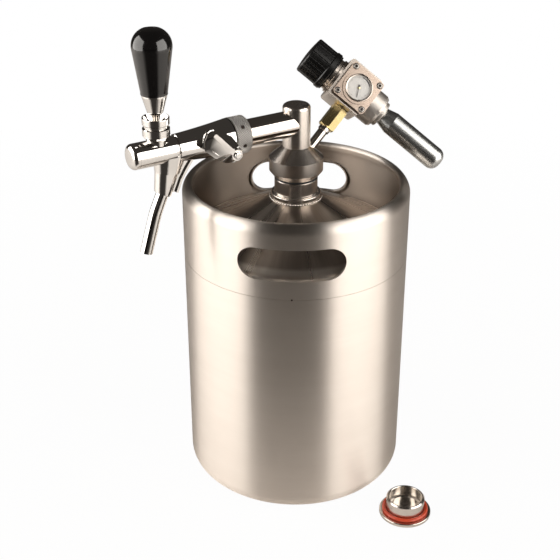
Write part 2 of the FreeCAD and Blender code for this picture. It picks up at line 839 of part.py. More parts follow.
def make_front_cap():
    """Screwed front cap of the barrel with a small bead round its face."""
    low = d.barrel_end + d.weld_gap
    thread = d.cap_thread_radius - d.run_gap
    thread_low = d.barrel_end - d.cap_thread + 0.3
    bead = d.front_bead
    turned("front_cap", [
        (0, thread_low), (thread, thread_low), (thread, low), (d.barrel_radius, low),
        (d.barrel_radius, d.front_end - bead * 3, bead * 3), (d.barrel_radius - bead * 3, d.front_end),
        (0, d.front_end),
    ], tap_axis)


def make_ball_seat():
    """Nylon ring that the lever's ball turns in."""
    seat = d.lever_ball_radius + d.run_gap
    low = as_size(-2.5)
    high = as_size(2.2)
    outer = d.boss_bore_radius - d.run_gap
    turned("ball_seat", [
        (outer, low), (outer, high), (root(seat * seat - high * high), high, -seat),
        (root(seat * seat - low * low), low),
    ], pivot_frame)


def make_lever_bonnet():
    """Ring screwed into the boss that holds the ball down; its cup lets the lever tilt."""
    low = as_size(2.3)
    mid = d.boss_rise - d.pivot_rise
    top = d.bonnet_top - d.pivot_rise
    inner = as_size(4.9)
    cup = d.bonnet_radius - 0.9
    turned("lever_bonnet", [
        (inner, low), (d.boss_bore_radius - d.run_gap, low), (d.boss_bore_radius - d.run_gap, mid + d.clear_gap),
        (d.bonnet_neck_radius, mid + d.clear_gap), (d.bonnet_neck_radius, mid + d.bonnet_gap),
        (d.bonnet_radius - 0.5, mid + d.bonnet_gap), (d.bonnet_radius, mid + d.bonnet_gap + 0.5),
        (d.bonnet_radius, top - 0.6, as_size(0.6)), (d.bonnet_radius - 0.6, top), (cup, top),
    ], pivot_frame)


def make_tap_lever():
    """Steel lever: threaded rod, pivot ball and the tip that moves the shaft."""
    tip = d.lever_tip_radius
    arm = d.pivot_rise
    rod = d.lever_rod_radius
    pin = as_size(1.8)
    ball_radius = d.lever_ball_radius
    tip_join = root(tip * tip - pin * pin)
    ball_low = root(ball_radius * ball_radius - pin * pin)
    ball_high = root(ball_radius * ball_radius - rod * rod)
    rod_top = d.ferrule_top + 12.0 - arm
    turned("tap_lever", [
        (0, -arm - tip, tip), (pin, -arm + tip_join), (pin, -ball_low, ball_radius),
        (rod, ball_high), (rod, rod_top), (0, rod_top),
    ], pivot_frame)


def make_handle():
    """Chrome ferrule and glossy grip on the lever's rod."""
    arm = d.pivot_rise
    rod = d.lever_rod_radius + d.run_gap
    low = d.ferrule_low - arm
    top = d.ferrule_top - arm
    turned("handle_ferrule", [
        (rod, low), (d.ferrule_low_radius - 0.5, low), (d.ferrule_low_radius, low + 0.5),
        (d.ferrule_top_radius, top - 1.2), (d.ferrule_top_radius, top), (rod, top),
    ], pivot_frame)
    grip_low = top + d.weld_gap
    wide = d.grip_wide_rise - arm
    top_end = d.grip_top - arm
    hole_top = d.ferrule_top + 13.0 - arm
    crown_radius = d.grip_wide_radius * 0.5
    turned("handle_grip", [
        (rod, grip_low), (d.grip_low_radius, grip_low), (d.grip_low_radius, grip_low + 1.5),
        (d.grip_wide_radius, wide, as_size(13.0)), (crown_radius, top_end - 0.9, crown(crown_radius, as_size(0.9))),
        (0, top_end), (0, hole_top), (rod, hole_top),
    ], pivot_frame)


def make_tap_shaft():
    """Valve shaft: front guide, flat eye for the lever's tip, rod and the washer's spool."""
    washer_front = d.seat_face - 0.3
    washer_rear = washer_front - d.washer_width
    rear = washer_rear - 1.6
    eye = d.lever_position
    eye_half = as_size(6.0)
    guide_front = d.barrel_end - d.cap_thread - 1.5
    guide = d.shaft_guide_radius
    rod = d.shaft_radius
    turned_shaft = body("shaft_turned")
    spin(turned_shaft, [
        (0, rear), (d.washer_radius - 0.6, rear), (d.washer_radius - 0.6, washer_rear), (rod, washer_rear),
        (rod, eye - eye_half), (guide - 0.4, eye - eye_half), (guide - 0.4, eye + eye_half),
        (guide, eye + eye_half), (guide, guide_front), (0, guide_front),
    ])
    turned_shaft.Placement = turn(Y, 90)
    flat = as_size(2.0)
    slabs = [box("eye_flat_" + side, eye_half * 2, guide * 3, guide,
                 shift((eye - eye_half).number, -guide.number * 1.5, low))
             for side, low in (("above", flat.number), ("below", -flat.number - guide.number))]
    hole = cylinder("lever_eye", d.lever_tip_radius + 0.35, guide * 2,
                    shift(eye.number, 0, -guide.number))
    piece(cut("shaft_cut", turned_shaft, *slabs, hole), "tap_shaft", tap_frame)
    turned("seat_washer", [
        (rod + d.run_gap, washer_rear + 0.02), (d.washer_radius, washer_rear + 0.02),
        (d.washer_radius, washer_front), (rod + d.run_gap, washer_front),
    ], tap_axis)


def make_spout_tube():
    """Bent pouring tube in the tap's socket."""
    top = V(d.spout_position.number - 0.1, 0, -d.spout_top_drop.number)
    bend = V(d.spout_bend_position.number, 0, -d.spout_bend_drop.number)
    tip = V(d.spout_tip_position.number, 0, -d.spout_tip_drop.number)
    into = (bend - top).normalize()
    away = (tip - bend).normalize()
    angle = into.getAngle(away)
    reach = d.spout_bend_radius.number * math.tan(angle / 2)
    start = bend - into * reach
    end = bend + away * reach
    pull = (away - into).normalize()
    centre = bend + pull * (d.spout_bend_radius.number / math.cos(angle / 2))
    middle = centre - pull * d.spout_bend_radius.number
    first = top + into * 0.2
    path = Part.Wire([Part.LineSegment(first, start).toShape(), Part.Arc(start, middle, end).toShape(),
                      Part.LineSegment(end, tip).toShape()])
    outer = Part.Wire([Part.Circle(first, into, d.spout_radius.number).toShape()])
    inner = Part.Wire([Part.Circle(first, into, d.spout_radius.number - d.spout_wall.number).toShape()])
    tube = path.makePipeShell([outer], True, False).cut(path.makePipeShell([inner], True, False))
    made = doc.addObject("Part::Feature", "spout_bent")
    made.Shape = tube
    piece(made, "spout_tube", tap_frame)


def make_flow_control():
    """Flow control: a hand lever on a cross shaft, whose inner pin slides a tapered core."""
    reach = d.flow_lever_reach
    low = d.flow_boss_reach + d.clear_gap
    hub = d.flow_hub_radius
    shaft_low = as_size(5.2)
    shaft = cylinder("flow_shaft", d.flow_shaft_radius, reach - shaft_low, shift(z=shaft_low.number))
    pin_turn = math.radians(d.flow_lever_angle.number - 90)
    throw = d.flow_throw.number
    pin_low = as_size(1.5)
    pin = cylinder("flow_pin", d.flow_pin_radius, shaft_low - pin_low + 0.5,
                   shift(throw * math.cos(pin_turn), throw * math.sin(pin_turn), pin_low.number))
    boss = body("flow_hub")
    spin(boss, [
        (0, low), (hub + 0.8, low), (hub + 0.8, low + 1.6), (hub, low + 2.2), (hub, reach - 0.8),
        (hub - 0.8, reach), (0, reach),
    ])
    length = d.flow_lever_length
    paddle = prism("flow_paddle", [
        (-hub, as_size(2.6)), (as_size(-1.6), as_size(-4.9)), (as_size(3.0), as_size(-6.8)),
        (as_size(11.8), as_size(-7.8), as_size(40.0)), (length - 0.4, as_size(0.0), as_size(2.6)),
        (length, as_size(4.2)), (as_size(26.0), as_size(12.4), as_size(4.0)), (as_size(20.4), as_size(13.7)),
        (as_size(4.3), as_size(11.1)), (as_size(-1.4), as_size(8.6), as_size(5.0)),
    ], as_size(4.2), shift(z=(low + 2.3).number), "XY_Plane")
    ridge = prism("flow_ridge", [
        (as_size(3.4), as_size(-1.4)), (length - 5.0, as_size(-0.8)), (length - 4.0, as_size(1.2)),
        (length - 5.0, as_size(3.0)), (as_size(3.4), as_size(2.6)),
    ], as_size(4.6), shift(z=(low + 3.8).number), "XY_Plane")
    hollow = prism("flow_hollow", [
        (as_size(6.0), as_size(4.6)), (as_size(17.0), as_size(4.9)), (as_size(19.4), as_size(8.4), as_size(3.0)),
        (as_size(17.0), as_size(10.8)), (as_size(7.0), as_size(8.8)), (as_size(5.0), as_size(6.6)),
    ], as_size(3.0), shift(z=(low + 4.2).number), "XY_Plane")
    whole = fuse("flow_lever_cast", shaft, pin, boss, paddle, ridge)
    piece(cut("flow_lever_cut", whole, hollow), "flow_lever", flow_frame * turn(Z, -d.flow_lever_angle.number))
    turned("flow_lever_screw", [
        (0, reach + 0.02), (as_size(2.9), reach + 0.02), (as_size(2.9), reach + 1.0, as_size(1.0)),
        (as_size(1.9), reach + 2.0), (0, reach + 2.0),
    ], flow_frame)
    start = d.flow_position - 3.6
    core = d.flow_core_radius
    shape = body("flow_core_turned")
    spin(shape, [
        (0, start - 2.4), (core, start - 2.4), (core, start + 6.2), (d.flow_core_tip_radius, start + d.flow_core_length),
        (0, start + d.flow_core_length),
    ])
    shape.Placement = turn(Y, 90)
    width = (d.flow_pin_radius + d.clear_gap + 0.05) * 2
    slot = box("flow_core_slot", width, core, core,
               shift(d.flow_position.number - width.number / 2, 1.0, -2.5 - core.number))
    piece(cut("flow_core_cut", shape, slot), "flow_core", tap_frame)


def make_gas_stem():
    """Gas inlet stem welded on the cone, with the collar that the hex nut rests on."""
    tube = d.gas_stem_radius
    top = d.gas_collar_high + 14.6
    foot = cylinder("stem_foot_plug", tube, as_size(3.0), shift())
    thing = body("stem_turned")
    spin(thing, [
        (d.gas_stem_bore_radius, -4.0), (tube, -4.0), (tube, d.gas_collar_low), (d.gas_collar_radius, d.gas_collar_low + 0.6),
        (d.gas_collar_radius, d.gas_collar_high), (tube, d.gas_collar_high), (tube, top),
        (d.gas_stem_bore_radius, top),
    ])
    doc.removeObject(foot.Name)
    thing.Placement = gas_frame
    head = body("cone_for_stem")
    gap = d.weld_gap * 0.3
    spin(head, [
        (0, d.band_low), (d.band_radius + gap, d.band_low), (d.band_radius + gap, d.band_high + gap),
        (d.post_radius + gap, d.cone_top + gap), (d.post_radius + gap, d.post_top), (0, d.post_top),
    ])
    piece(cut("stem_cut", thing, head), "gas_stem", shift())


def hexagon(flats):
    """Corners of a hexagon with the given distance across its flats."""
    corner = flats / root(as_size(3))
    ring = []
    for index in range(6):
        angle = as_size(60 * index)
        ring.append((corner * cosine(angle), corner * sine(angle)))
    return ring


def make_gas_nut():
    """Brass hex nut that clamps the regulator to the stem."""
    low = d.gas_nut_low
    high = d.regulator_reach - d.block_half_height - d.clear_gap
    length = high - low
    bar = body("nut_bar")
    sketch = new_sketch(bar, "XY_Plane", "nut_hexagon", low)
    outline(sketch, hexagon(d.gas_nut_flats))
    pad = bar.newObject("PartDesign::Pad", "nut_pad")
    pad.Profile = sketch
    bind(pad, Length=length)
    rounding = body("nut_rounding")
    corner = d.gas_nut_flats / 2 / cosine(as_size(30))
    flat = d.gas_nut_flats / 2
    spin(rounding, [
        (0, low), (flat - 0.2, low), (corner, low + 1.0), (corner, high - 1.0), (flat - 0.2, high), (0, high),
    ])
    block = common("nut_block", bar, rounding)
    bore = cylinder("nut_bore", d.gas_stem_radius + d.clear_gap, length + 2.0, shift(z=low.number - 1))
    piece(cut("nut_cut", block, bore), "gas_nut", gas_frame)


def make_gas_washer():
    low = d.gas_collar_high + 14.6 - d.regulator_reach
    turned("gas_washer", [
        (as_size(1.6), low + 0.05), (d.gas_stem_radius, low + 0.05), (d.gas_stem_radius, low + 1.4), (as_size(1.6), low + 1.4),
    ], regulator_frame)


def rounded_box(name, left, right, down, up, back, front, edge, frame):
    """A block with every edge along its depth rounded."""
    thing = body(name)
    sketch = new_sketch(thing, "XZ_Plane", name + "_outline", front)
    outline(sketch, [
        (-left + edge, -down), (right - edge, -down, edge), (right, edge - down), (right, up - edge, edge),
        (right - edge, up), (edge - left, up, edge), (-left, up - edge), (-left, edge - down, edge),
    ])
    pad = thing.newObject("PartDesign::Pad", name + "_pad")
    pad.Profile = sketch
    bind(pad, Length=front + back)
    pad.Reversed = True
    thing.Placement = frame
    return thing


def make_regulator_body():
    """Cast regulator block with bores for the spring, the gauge, the cartridge and the gas outlet."""
    half = d.block_half_height
    depth = d.block_half_depth
    block = rounded_box("block", d.block_left, d.block_right, half, half, depth, depth, d.block_round, shift())
    tail_low = d.gas_collar_high + 14.6 + 1.4 + 0.05 - d.regulator_reach
    tail = cylinder("tailpiece", d.gas_stem_radius, -tail_low - half + 1.0, shift(z=tail_low.number))
    whole = fuse("block_with_tail", block, tail)
    spring_room = cylinder("spring_room", d.spring_bore_radius, as_size(12.0),
                           turn(Y, 90) * shift(z=-d.block_left.number - 0.5))
    inlet = cylinder("inlet_bore", as_size(5.5), d.block_right + 2.0, turn(Y, 90) * shift(z=3))
    outlet = cylinder("outlet_gas_bore", as_size(1.5), -tail_low + 2.0, shift(z=tail_low.number - 1))
    gauge_hole = cylinder("gauge_hole", d.gauge_radius - 2.2, d.gauge_depth, turn(X, 90) * shift(
        z=(depth - 4.6).number))
    piece(cut("block_cut", whole, spring_room, inlet, outlet, gauge_hole), "regulator_body", regulator_frame)


def make_gauge_plate():
    """Square cover plate on the block with bevelled edges, screw seats and the gauge opening."""
    half = d.plate_half
    face = d.block_half_depth
    front = face + d.plate_thickness + d.weld_gap
    thing = body("gauge_plate")
    edge = d.block_round
    sketch = new_sketch(thing, "XY_Plane", "plate_outline", face + d.weld_gap)
    outline(sketch, [
        (-half + edge, -half), (half - edge, -half, edge), (half, edge - half), (half, half - edge, edge),
        (half - edge, half), (edge - half, half, edge), (-half, half - edge), (-half, edge - half, edge),
    ])
    pad = thing.newObject("PartDesign::Pad", "plate_pad")
    pad.Profile = sketch
    bind(pad, Length=d.plate_thickness)
    step = new_sketch(thing, "XY_Plane", "plate_step", front - 0.02)
    round_hole(step, as_size(0), as_size(0), d.gauge_radius + 2.0)
    ring = thing.newObject("PartDesign::Pad", "plate_ring")
    ring.Profile = step
    ring.Length = 0.9
    opening = new_sketch(thing, "XY_Plane", "plate_opening", front + 2.0)
    round_hole(opening, as_size(0), as_size(0), d.gauge_radius + d.run_gap)
    hole = thing.newObject("PartDesign::Pocket", "plate_hole")
    hole.Profile = opening
    hole.Type = "Length"
    bind(hole, Length=d.plate_thickness + 4.0)
    seats = new_sketch(thing, "XY_Plane", "screw_seats", front + 2.0)
    for across in (-1, 1):
        for up in (-1, 1):
            round_hole(seats, d.screw_pitch / 2 * across, d.screw_pitch / 2 * up, d.screw_radius + 0.3)
    seat = thing.newObject("PartDesign::Pocket", "screw_seat_cut")
    seat.Profile = seats
    seat.Type = "Length"
    seat.Length = 3.4
    piece(thing, "gauge_plate", gauge_frame)


def make_plate_screws():
    """Four pan head screws, hex socketed, in the plate's corners."""
    front = d.block_half_depth + d.plate_thickness + d.weld_gap
    low = front - 1.38
    heads = []
    for across in (-1, 1):
        for up in (-1, 1):
            name = "screw_" + str(across + 2) + str(up + 2)
            head = body(name)
            spin(head, [
                (0, low), (d.screw_radius, low), (d.screw_radius, low + 1.4, as_size(0.6)),
                (d.screw_radius - 0.6, low + 2.0), (as_size(1.1), low + 2.0), (as_size(1.1), low + 1.0), (0, low + 1.0),
            ])
            head.Placement = shift((d.screw_pitch / 2 * across).number, (d.screw_pitch / 2 * up).number, 0)
            heads.append(head)
    group = doc.addObject("Part::Compound", "screw_group")
    group.Links = heads
    piece(group, "plate_screws", gauge_frame)


def make_gauge():
    """Pressure gauge: case, dial, needle on its spindle, lens and bezel."""
    front = d.block_half_depth + d.plate_thickness + d.weld_gap
    radius = d.gauge_radius
    inner = radius - d.gauge_rim
    dial_up = front - 0.4
    case_low = d.block_half_depth + d.weld_gap * 2
    turned("gauge_case", [
        (0, case_low), (radius, case_low), (radius, dial_up), (inner, dial_up), (inner, case_low + 0.8), (0, case_low + 0.8),
    ], gauge_frame)
    turned("gauge_dial", [
        (as_size(0.6), dial_up - 0.6), (inner - 0.1, dial_up - 0.6), (inner - 0.1, dial_up), (as_size(0.6), dial_up),
    ], gauge_frame)
    turned("gauge_bezel", [
        (inner - 0.2, dial_up + 0.05), (radius, dial_up + 0.05), (radius, front + d.gauge_proud - 0.5, as_size(0.5)),
        (radius - 0.5, front + d.gauge_proud), (inner - 0.2, front + d.gauge_proud - 0.4),
    ], gauge_frame)
    turned("gauge_lens", [
        (0, front + 0.75), (inner - 0.3, front + 0.75), (inner - 0.3, front + 1.3), (0, front + 1.5),
    ], gauge_frame)
    spindle = cylinder("needle_spindle", as_size(0.5), as_size(1.6), shift(z=(dial_up - 1.1).number))
    hub = cylinder("needle_hub", as_size(1.1), as_size(0.45), shift(z=(dial_up + 0.3).number))
    pointer = prism("needle_pointer", [
        (as_size(-0.35), as_size(-7.4)), (as_size(0.35), as_size(-7.4)), (as_size(0.55), as_size(0)),
        (as_size(0.9), as_size(3.0)), (as_size(-0.9), as_size(3.0)), (as_size(-0.55), as_size(0)),
    ], as_size(0.3), shift(z=(dial_up + 0.5).number), "XY_Plane")
    piece(fuse("needle_fused", spindle, hub, pointer), "gauge_needle", gauge_frame)


def make_regulator_bonnet():
    """Chromed threaded bonnet between the block and the knob, open for the spring."""
    low = d.block_left + d.weld_gap
    thread = d.bonnet_thread_radius
    inner = d.spring_bore_radius
    frame = regulator_axis * turn(Y, 180)
    turned("regulator_bonnet", [
        (inner, low), (thread + 1.2, low), (thread + 1.2, low + 2.0), (thread, low + 2.6), (thread, low + 14.0),
        (inner + 1.2, low + 16.5), (as_size(3.2), low + 16.5), (as_size(3.2), low + 14.5), (inner, low + 14.5),
    ], frame)
    spring_low = d.block_left - 8.0
    turned("diaphragm", [
        (0, spring_low - 2.6), (inner - 0.1, spring_low - 2.6), (inner - 0.1, spring_low - 1.6), (as_size(5.0), spring_low - 0.4),
        (0, spring_low - 0.4),
    ], frame)
    spring = body("range_spring")
    ring = new_sketch(spring, "XZ_Plane", "spring_wire", None)
    wire_in = as_size(6.0)
    wire_out = as_size(7.3)
    outline(ring, [
        (wire_in, spring_low + 0.1), (wire_out, spring_low + 0.1), (wire_out, spring_low + 1.2), (wire_in, spring_low + 1.2),
    ])
    coil = spring.newObject("PartDesign::AdditiveHelix", "spring_coil")
    coil.Profile = ring
    coil.ReferenceAxis = (ring, ["V_Axis"])
    coil.Mode = 0
    coil.Pitch = 4.0
    coil.Height = 15.4
    piece(spring, "range_spring", frame)


def make_pressure_knob():
    """Black knob: fluted grip, plain skirt step, domed end, hollow over the bonnet."""
    frame = regulator_axis * turn(Y, 180)
    radius = d.knob_radius
    open_end = d.knob_open
    end = d.knob_end
    inner = d.bonnet_thread_radius + d.clear_gap + 0.3
    roof = d.block_left + d.weld_gap + 17.0
    dome = as_size(1.2)
    thing = body("pressure_knob")
    spin(thing, [
        (inner, open_end), (radius - 0.9, open_end), (radius - 0.9, open_end + 1.0), (radius, open_end + 1.6),
        (radius, open_end + 5.2), (radius - 0.8, open_end + 6.0), (radius - 0.8, end - 2.2), (radius - 1.6, end - dome, crown(radius - 1.6, dome)),
        (0, end), (0, roof), (inner, roof),
    ])
    sketch = new_sketch(thing, "XY_Plane", "flute_outline", open_end + 6.4)
    round_hole(sketch, radius + 0.15, as_size(0), as_size(1.25))
    flute = thing.newObject("PartDesign::Pocket", "flute_cut")
    flute.Profile = sketch
    flute.Type = "Length"
    bind(flute, Length=end - open_end)
    flute.Reversed = True
    around = thing.newObject("PartDesign::PolarPattern", "flutes")
    around.Originals = [flute]
    around.Axis = (sketch, ["N_Axis"])
    around.Angle = 360
    around.Occurrences = int(d.knob_flutes.number)
    thing.Tip = around
    piece(thing, "pressure_knob", frame)
    turned("adjusting_screw", [
        (0, d.block_left - 8.0 + 17.2), (as_size(6.4), d.block_left - 8.0 + 17.2),
        (as_size(6.4), d.block_left + 11.9 - 1.0), (as_size(2.9), d.block_left + 11.9), (as_size(2.9), roof), (0, roof),
    ], frame)


def make_cartridge():
    """Cartridge holder with its piercing pin and seal, and the bare gas cartridge screwed into it."""
    face = d.block_right + d.weld_gap
    collar = d.collar_radius
    neck = d.cartridge_neck_radius
    mouth = d.cartridge_mouth
    lip = d.collar_lip_end
    bore = neck + d.run_gap
    wide = d.cartridge_radius - 1.6
    blank = body("holder_turned")
    spin(blank, [
        (bore, face), (collar - 0.6, face), (collar, face + 0.6), (collar, d.collar_end - 2.0),
        (collar - 1.4, d.collar_end), (d.collar_lip_radius, d.collar_end), (d.collar_lip_radius, lip - 0.6),
        (d.collar_lip_radius - 0.6, lip), (wide + 0.4, lip), (wide + 0.4, lip - 2.4), (bore, lip - 5.6),
    ])
    notches = []
    for index in range(4):
        notches.append(box("holder_notch_" + str(index), as_size(3.0), as_size(3.6), as_size(3.2),
                           turn(Z, 90 * index + 20) * shift(collar.number - 1.2, -1.8, d.collar_end.number - 3.4)))
    piece(cut("holder_cut", blank, *notches), "cartridge_holder", regulator_axis)
    pin_low = as_size(3.0)
    turned("piercing_pin", [
        (as_size(0.5), pin_low), (as_size(5.4), pin_low), (as_size(5.4), pin_low + 5.0), (as_size(1.4), pin_low + 6.0), (as_size(0.7), mouth - 0.3),
        (as_size(0.5), mouth - 0.3),
    ], regulator_axis)
    turned("cartridge_seal", [
        (as_size(2.0), mouth - 2.4), (neck, mouth - 2.4), (neck, mouth - 0.3), (as_size(2.0), mouth - 0.3),
    ], regulator_axis)
    radius = d.cartridge_radius
    shoulder = d.cartridge_shoulder
    full = d.cartridge_full
    tip = d.cartridge_tip
    end = as_size(7.0)
    turned("gas_cartridge", [
        (0, mouth), (neck, mouth), (neck, shoulder - 2.0), (wide - 1.2, shoulder + 0.8), (radius, full),
        (radius, tip - end, end), (radius - end, tip), (0, tip),
    ], regulator_axis)


def make_spare_cap():
    """Spare screw cap standing upside down on the floor with its red ring."""
    tube = d.neck_bore_radius - d.run_gap
    flange = d.cap_flange_radius
    thick = d.cap_flange
    top = d.cap_height
    bore = d.cap_bore_radius
    floor = as_size(4.4)
    turned("spare_cap", [
        (0, 0), (flange - 1.0, 0, as_size(1.0)), (flange, as_size(1.0)), (flange, thick - 0.7, as_size(0.7)),
        (flange - 0.7, thick), (tube, thick), (tube, top - 1.0), (tube - 1.0, top), (bore + 0.4, top),
        (bore, top - 0.4), (bore, floor + 2.2), (bore - 1.6, floor + 1.6), (bore - 1.6, floor), (0, floor),
    ], cap_frame)
    wire = as_size(1.5)
    centre = tube + wire + d.weld_gap
    middle = thick + wire + 0.02
    ring = doc.addObject("Part::Torus", "seal_ring")
    bind(ring, Radius1=centre, Radius2=wire)
    piece(ring, "spare_cap_seal", cap_frame * shift(z=middle.number))


make_keg_body()
make_top_collar()
make_keg_dome()
make_neck_fitting()
make_head_body()
make_head_seal()
make_dip_tube()
make_shank_tube()
make_coupling_nut()
make_tap_washer()
make_tap_body()
make_front_cap()
make_ball_seat()
make_lever_bonnet()
make_tap_lever()
make_handle()
make_tap_shaft()
make_spout_tube()
make_flow_control()
make_gas_stem()
make_gas_nut()
make_gas_washer()
make_regulator_body()
make_gauge_plate()
make_plate_screws()
make_gauge()
make_regulator_bonnet()
make_pressure_knob()
make_cartridge()
make_spare_cap()
doc.recompute()

for thing in doc.Objects:
    for word in ("Invalid", "Error"):
        if word in thing.State:
            raise RuntimeError(thing.Name + " (" + thing.Label + ") is " + word)
for thing in pieces:
    if thing.Shape.isNull() or not thing.Shape.isValid():
        raise RuntimeError(thing.Label + " has no valid shape")

os.makedirs("parts", exist_ok=True)
for thing in pieces:
    thing.Shape.exportStep(os.path.join("parts", thing.Label + ".step"))
    print(thing.Label, len(thing.Shape.Solids), round(thing.Shape.Volume, 1))
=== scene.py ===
# %% [markdown]
# # Mini keg beer dispenser
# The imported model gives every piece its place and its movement. This file gives each piece its finish,
# adds the fine detail that is too small for the construction model, and sets the studio round it.
# Run the cells in order: each one uses only what the cells above it have made.

import math

import bmesh
import bpy
from mathutils import Matrix, Vector


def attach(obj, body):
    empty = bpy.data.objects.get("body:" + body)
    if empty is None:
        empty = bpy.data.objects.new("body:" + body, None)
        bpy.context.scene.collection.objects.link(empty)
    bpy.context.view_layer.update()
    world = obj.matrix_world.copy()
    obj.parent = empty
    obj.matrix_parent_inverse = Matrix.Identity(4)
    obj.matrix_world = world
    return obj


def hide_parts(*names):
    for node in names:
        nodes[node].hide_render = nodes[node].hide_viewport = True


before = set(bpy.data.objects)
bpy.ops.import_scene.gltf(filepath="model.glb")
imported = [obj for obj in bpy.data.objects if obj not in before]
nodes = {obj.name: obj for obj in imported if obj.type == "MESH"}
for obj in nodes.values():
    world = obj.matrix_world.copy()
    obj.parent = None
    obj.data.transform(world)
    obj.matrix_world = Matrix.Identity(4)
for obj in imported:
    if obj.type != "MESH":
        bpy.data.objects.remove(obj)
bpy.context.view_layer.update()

# %% [markdown]
# ## Frames shared with the construction model
# On the real dispenser the tap points outward along one heading, the gas stem leans out of the head's
# cone, and the regulator is turned about that stem. Each added piece could have numbers of its own, but
# a few shared frames are easier to check against the model. Blender works in metres, so a length in
# millimetres is multiplied by mm.

# %% Frames of the tap and the regulator
mm = 0.001
quarter_turn = math.radians(90)

tap_heading = math.radians(214.3)
tap_height = 304.7 * mm
tap_frame = Matrix.Rotation(tap_heading, 4, "Z") @ Matrix.Translation((0, 0, tap_height))
tap_axis = tap_frame @ Matrix.Rotation(quarter_turn, 4, "Y")

gas_heading = math.radians(40)
gas_foot = (15.2 * mm, 0, 282.39 * mm)
gas_lean = math.radians(49.5)
gas_frame = (Matrix.Rotation(gas_heading, 4, "Z") @ Matrix.Translation(gas_foot)
             @ Matrix.Rotation(gas_lean, 4, "Y"))

regulator_reach = 54.8 * mm
regulator_turn = math.radians(-36.7)
regulator_frame = (gas_frame @ Matrix.Translation((0, 0, regulator_reach))
                   @ Matrix.Rotation(regulator_turn, 4, "Z"))
gauge_frame = regulator_frame @ Matrix.Rotation(quarter_turn, 4, "X")
cartridge_axis = regulator_frame @ Matrix.Rotation(quarter_turn, 4, "Y")
print("tap at", [round(v, 4) for v in tap_frame.translation],
      "regulator at", [round(v, 4) for v in regulator_frame.translation])


# %% [markdown]
# ## Tools for materials
# A colour is written as it looks on screen, because that is how one reads it from a swatch, and one
# function turns it to the renderer's linear values. A node could be made and linked in five lines each
# time. One small function does it in one, whatever the node's kind, so each material below reads as a
# list of what feeds what.

# %% Colour, nodes and links
def linear(code):
    """Linear values of a screen colour such as #E6DED6."""
    values = [int(code[i:i + 2], 16) / 255 for i in (1, 3, 5)]
    return [v / 12.92 if v <= 0.04045 else ((v + 0.055) / 1.055) ** 2.4 for v in values] + [1.0]


def add(tree, kind, inputs=None, **settings):
    """Add a node, set its settings, and link or set its inputs."""
    made = tree.nodes.new(kind)
    for name, value in settings.items():
        setattr(made, name, value)
    for name, value in (inputs or {}).items():
        if isinstance(value, bpy.types.NodeSocket):
            tree.links.new(value, made.inputs[name])
        else:
            made.inputs[name].default_value = value
    return made


def wire(tree, source, shader, socket):
    tree.links.new(source, shader.inputs[socket])


def blank(name):
    material = bpy.data.materials.new(name)
    material.use_nodes = True
    tree = material.node_tree
    return material, tree, tree.nodes["Principled BSDF"]


# %% [markdown]
# ## Where a pattern sits
# Rolled, turned and cast metal all show a grain that belongs to the piece. Object coordinates keep such a
# grain on the piece when it moves. Where the grain follows a slanted piece, the coordinates are first
# turned into that piece's frame. A noise is stretched by multiplying its coordinates, so a scale is in
# grains per metre along X, Y and Z: 2600 is one line each 0.38 mm, 18 is one patch each 56 mm.

# %% Coordinates and stretched grain
def object_point(tree, matrix=None):
    """Object coordinates, seen from a frame of the part when one is given."""
    point = add(tree, "ShaderNodeTexCoord").outputs["Object"]
    if matrix is None:
        return point
    back = matrix.inverted()
    turned = add(tree, "ShaderNodeMapping", {"Vector": point, "Rotation": back.to_euler(),
                                             "Location": back.to_translation()})
    return turned.outputs["Vector"]


def grain(tree, point, per_metre, detail=4.0):
    """Noise from 0 to 1 with its own number of grains per metre along each axis."""
    spread = add(tree, "ShaderNodeVectorMath", {0: point, 1: per_metre}, operation="MULTIPLY")
    return add(tree, "ShaderNodeTexNoise", {"Vector": spread.outputs[0], "Scale": 1.0, "Detail": detail,
                                            "Roughness": 0.6}).outputs["Fac"]


# Nearly all of a noise lies between a quarter and three quarters, so that span is what gets mapped.
from_grain = {"From Min": 0.25, "From Max": 0.75}


def even(per_metre):
    return (per_metre, per_metre, per_metre)


# %% [markdown]
# ## Brushed stainless
# The keg, its collar and the turned head are stainless that was polished while it turned, so fine lines
# run round it and light spreads up and down the wall as soft vertical bands. The lines could be modelled
# as bumps alone, but they are far finer than a pixel. An anisotropic shader with a tangent about Z
# spreads the reflection in the same way, and a fine grain only varies its roughness.

# %% Spread of light across polishing lines
def polish_round(tree, shader, spread):
    shader.inputs["Metallic"].default_value = 1.0
    shader.inputs["Anisotropic"].default_value = spread
    shader.inputs["Anisotropic Rotation"].default_value = 0.25
    tangent = add(tree, "ShaderNodeTangent", direction_type="RADIAL", axis="Z")
    wire(tree, tangent.outputs["Tangent"], shader, "Tangent")


def brushed_round(name, light, dark, rough_low, rough_high, spread, lines=1.0, depth=0.02 * mm):
    material, tree, shader = blank(name)
    point = object_point(tree)
    fine = grain(tree, point, (18 * lines, 18 * lines, 2600 * lines), 6.0)
    broad = grain(tree, point, (9, 9, 60), 3.0)
    colour = add(tree, "ShaderNodeMix", {0: broad, 6: linear(dark), 7: linear(light)}, data_type="RGBA")
    rough = add(tree, "ShaderNodeMapRange", {"Value": fine, **from_grain, "To Min": rough_low,
                                             "To Max": rough_high})
    wire(tree, colour.outputs[2], shader, "Base Color")
    wire(tree, rough.outputs["Result"], shader, "Roughness")
    polish_round(tree, shader, spread)
    if depth:
        lines_cut = add(tree, "ShaderNodeBump", {"Height": fine, "Strength": 0.25, "Distance": depth})
        wire(tree, lines_cut.outputs["Normal"], shader, "Normal")
    return material


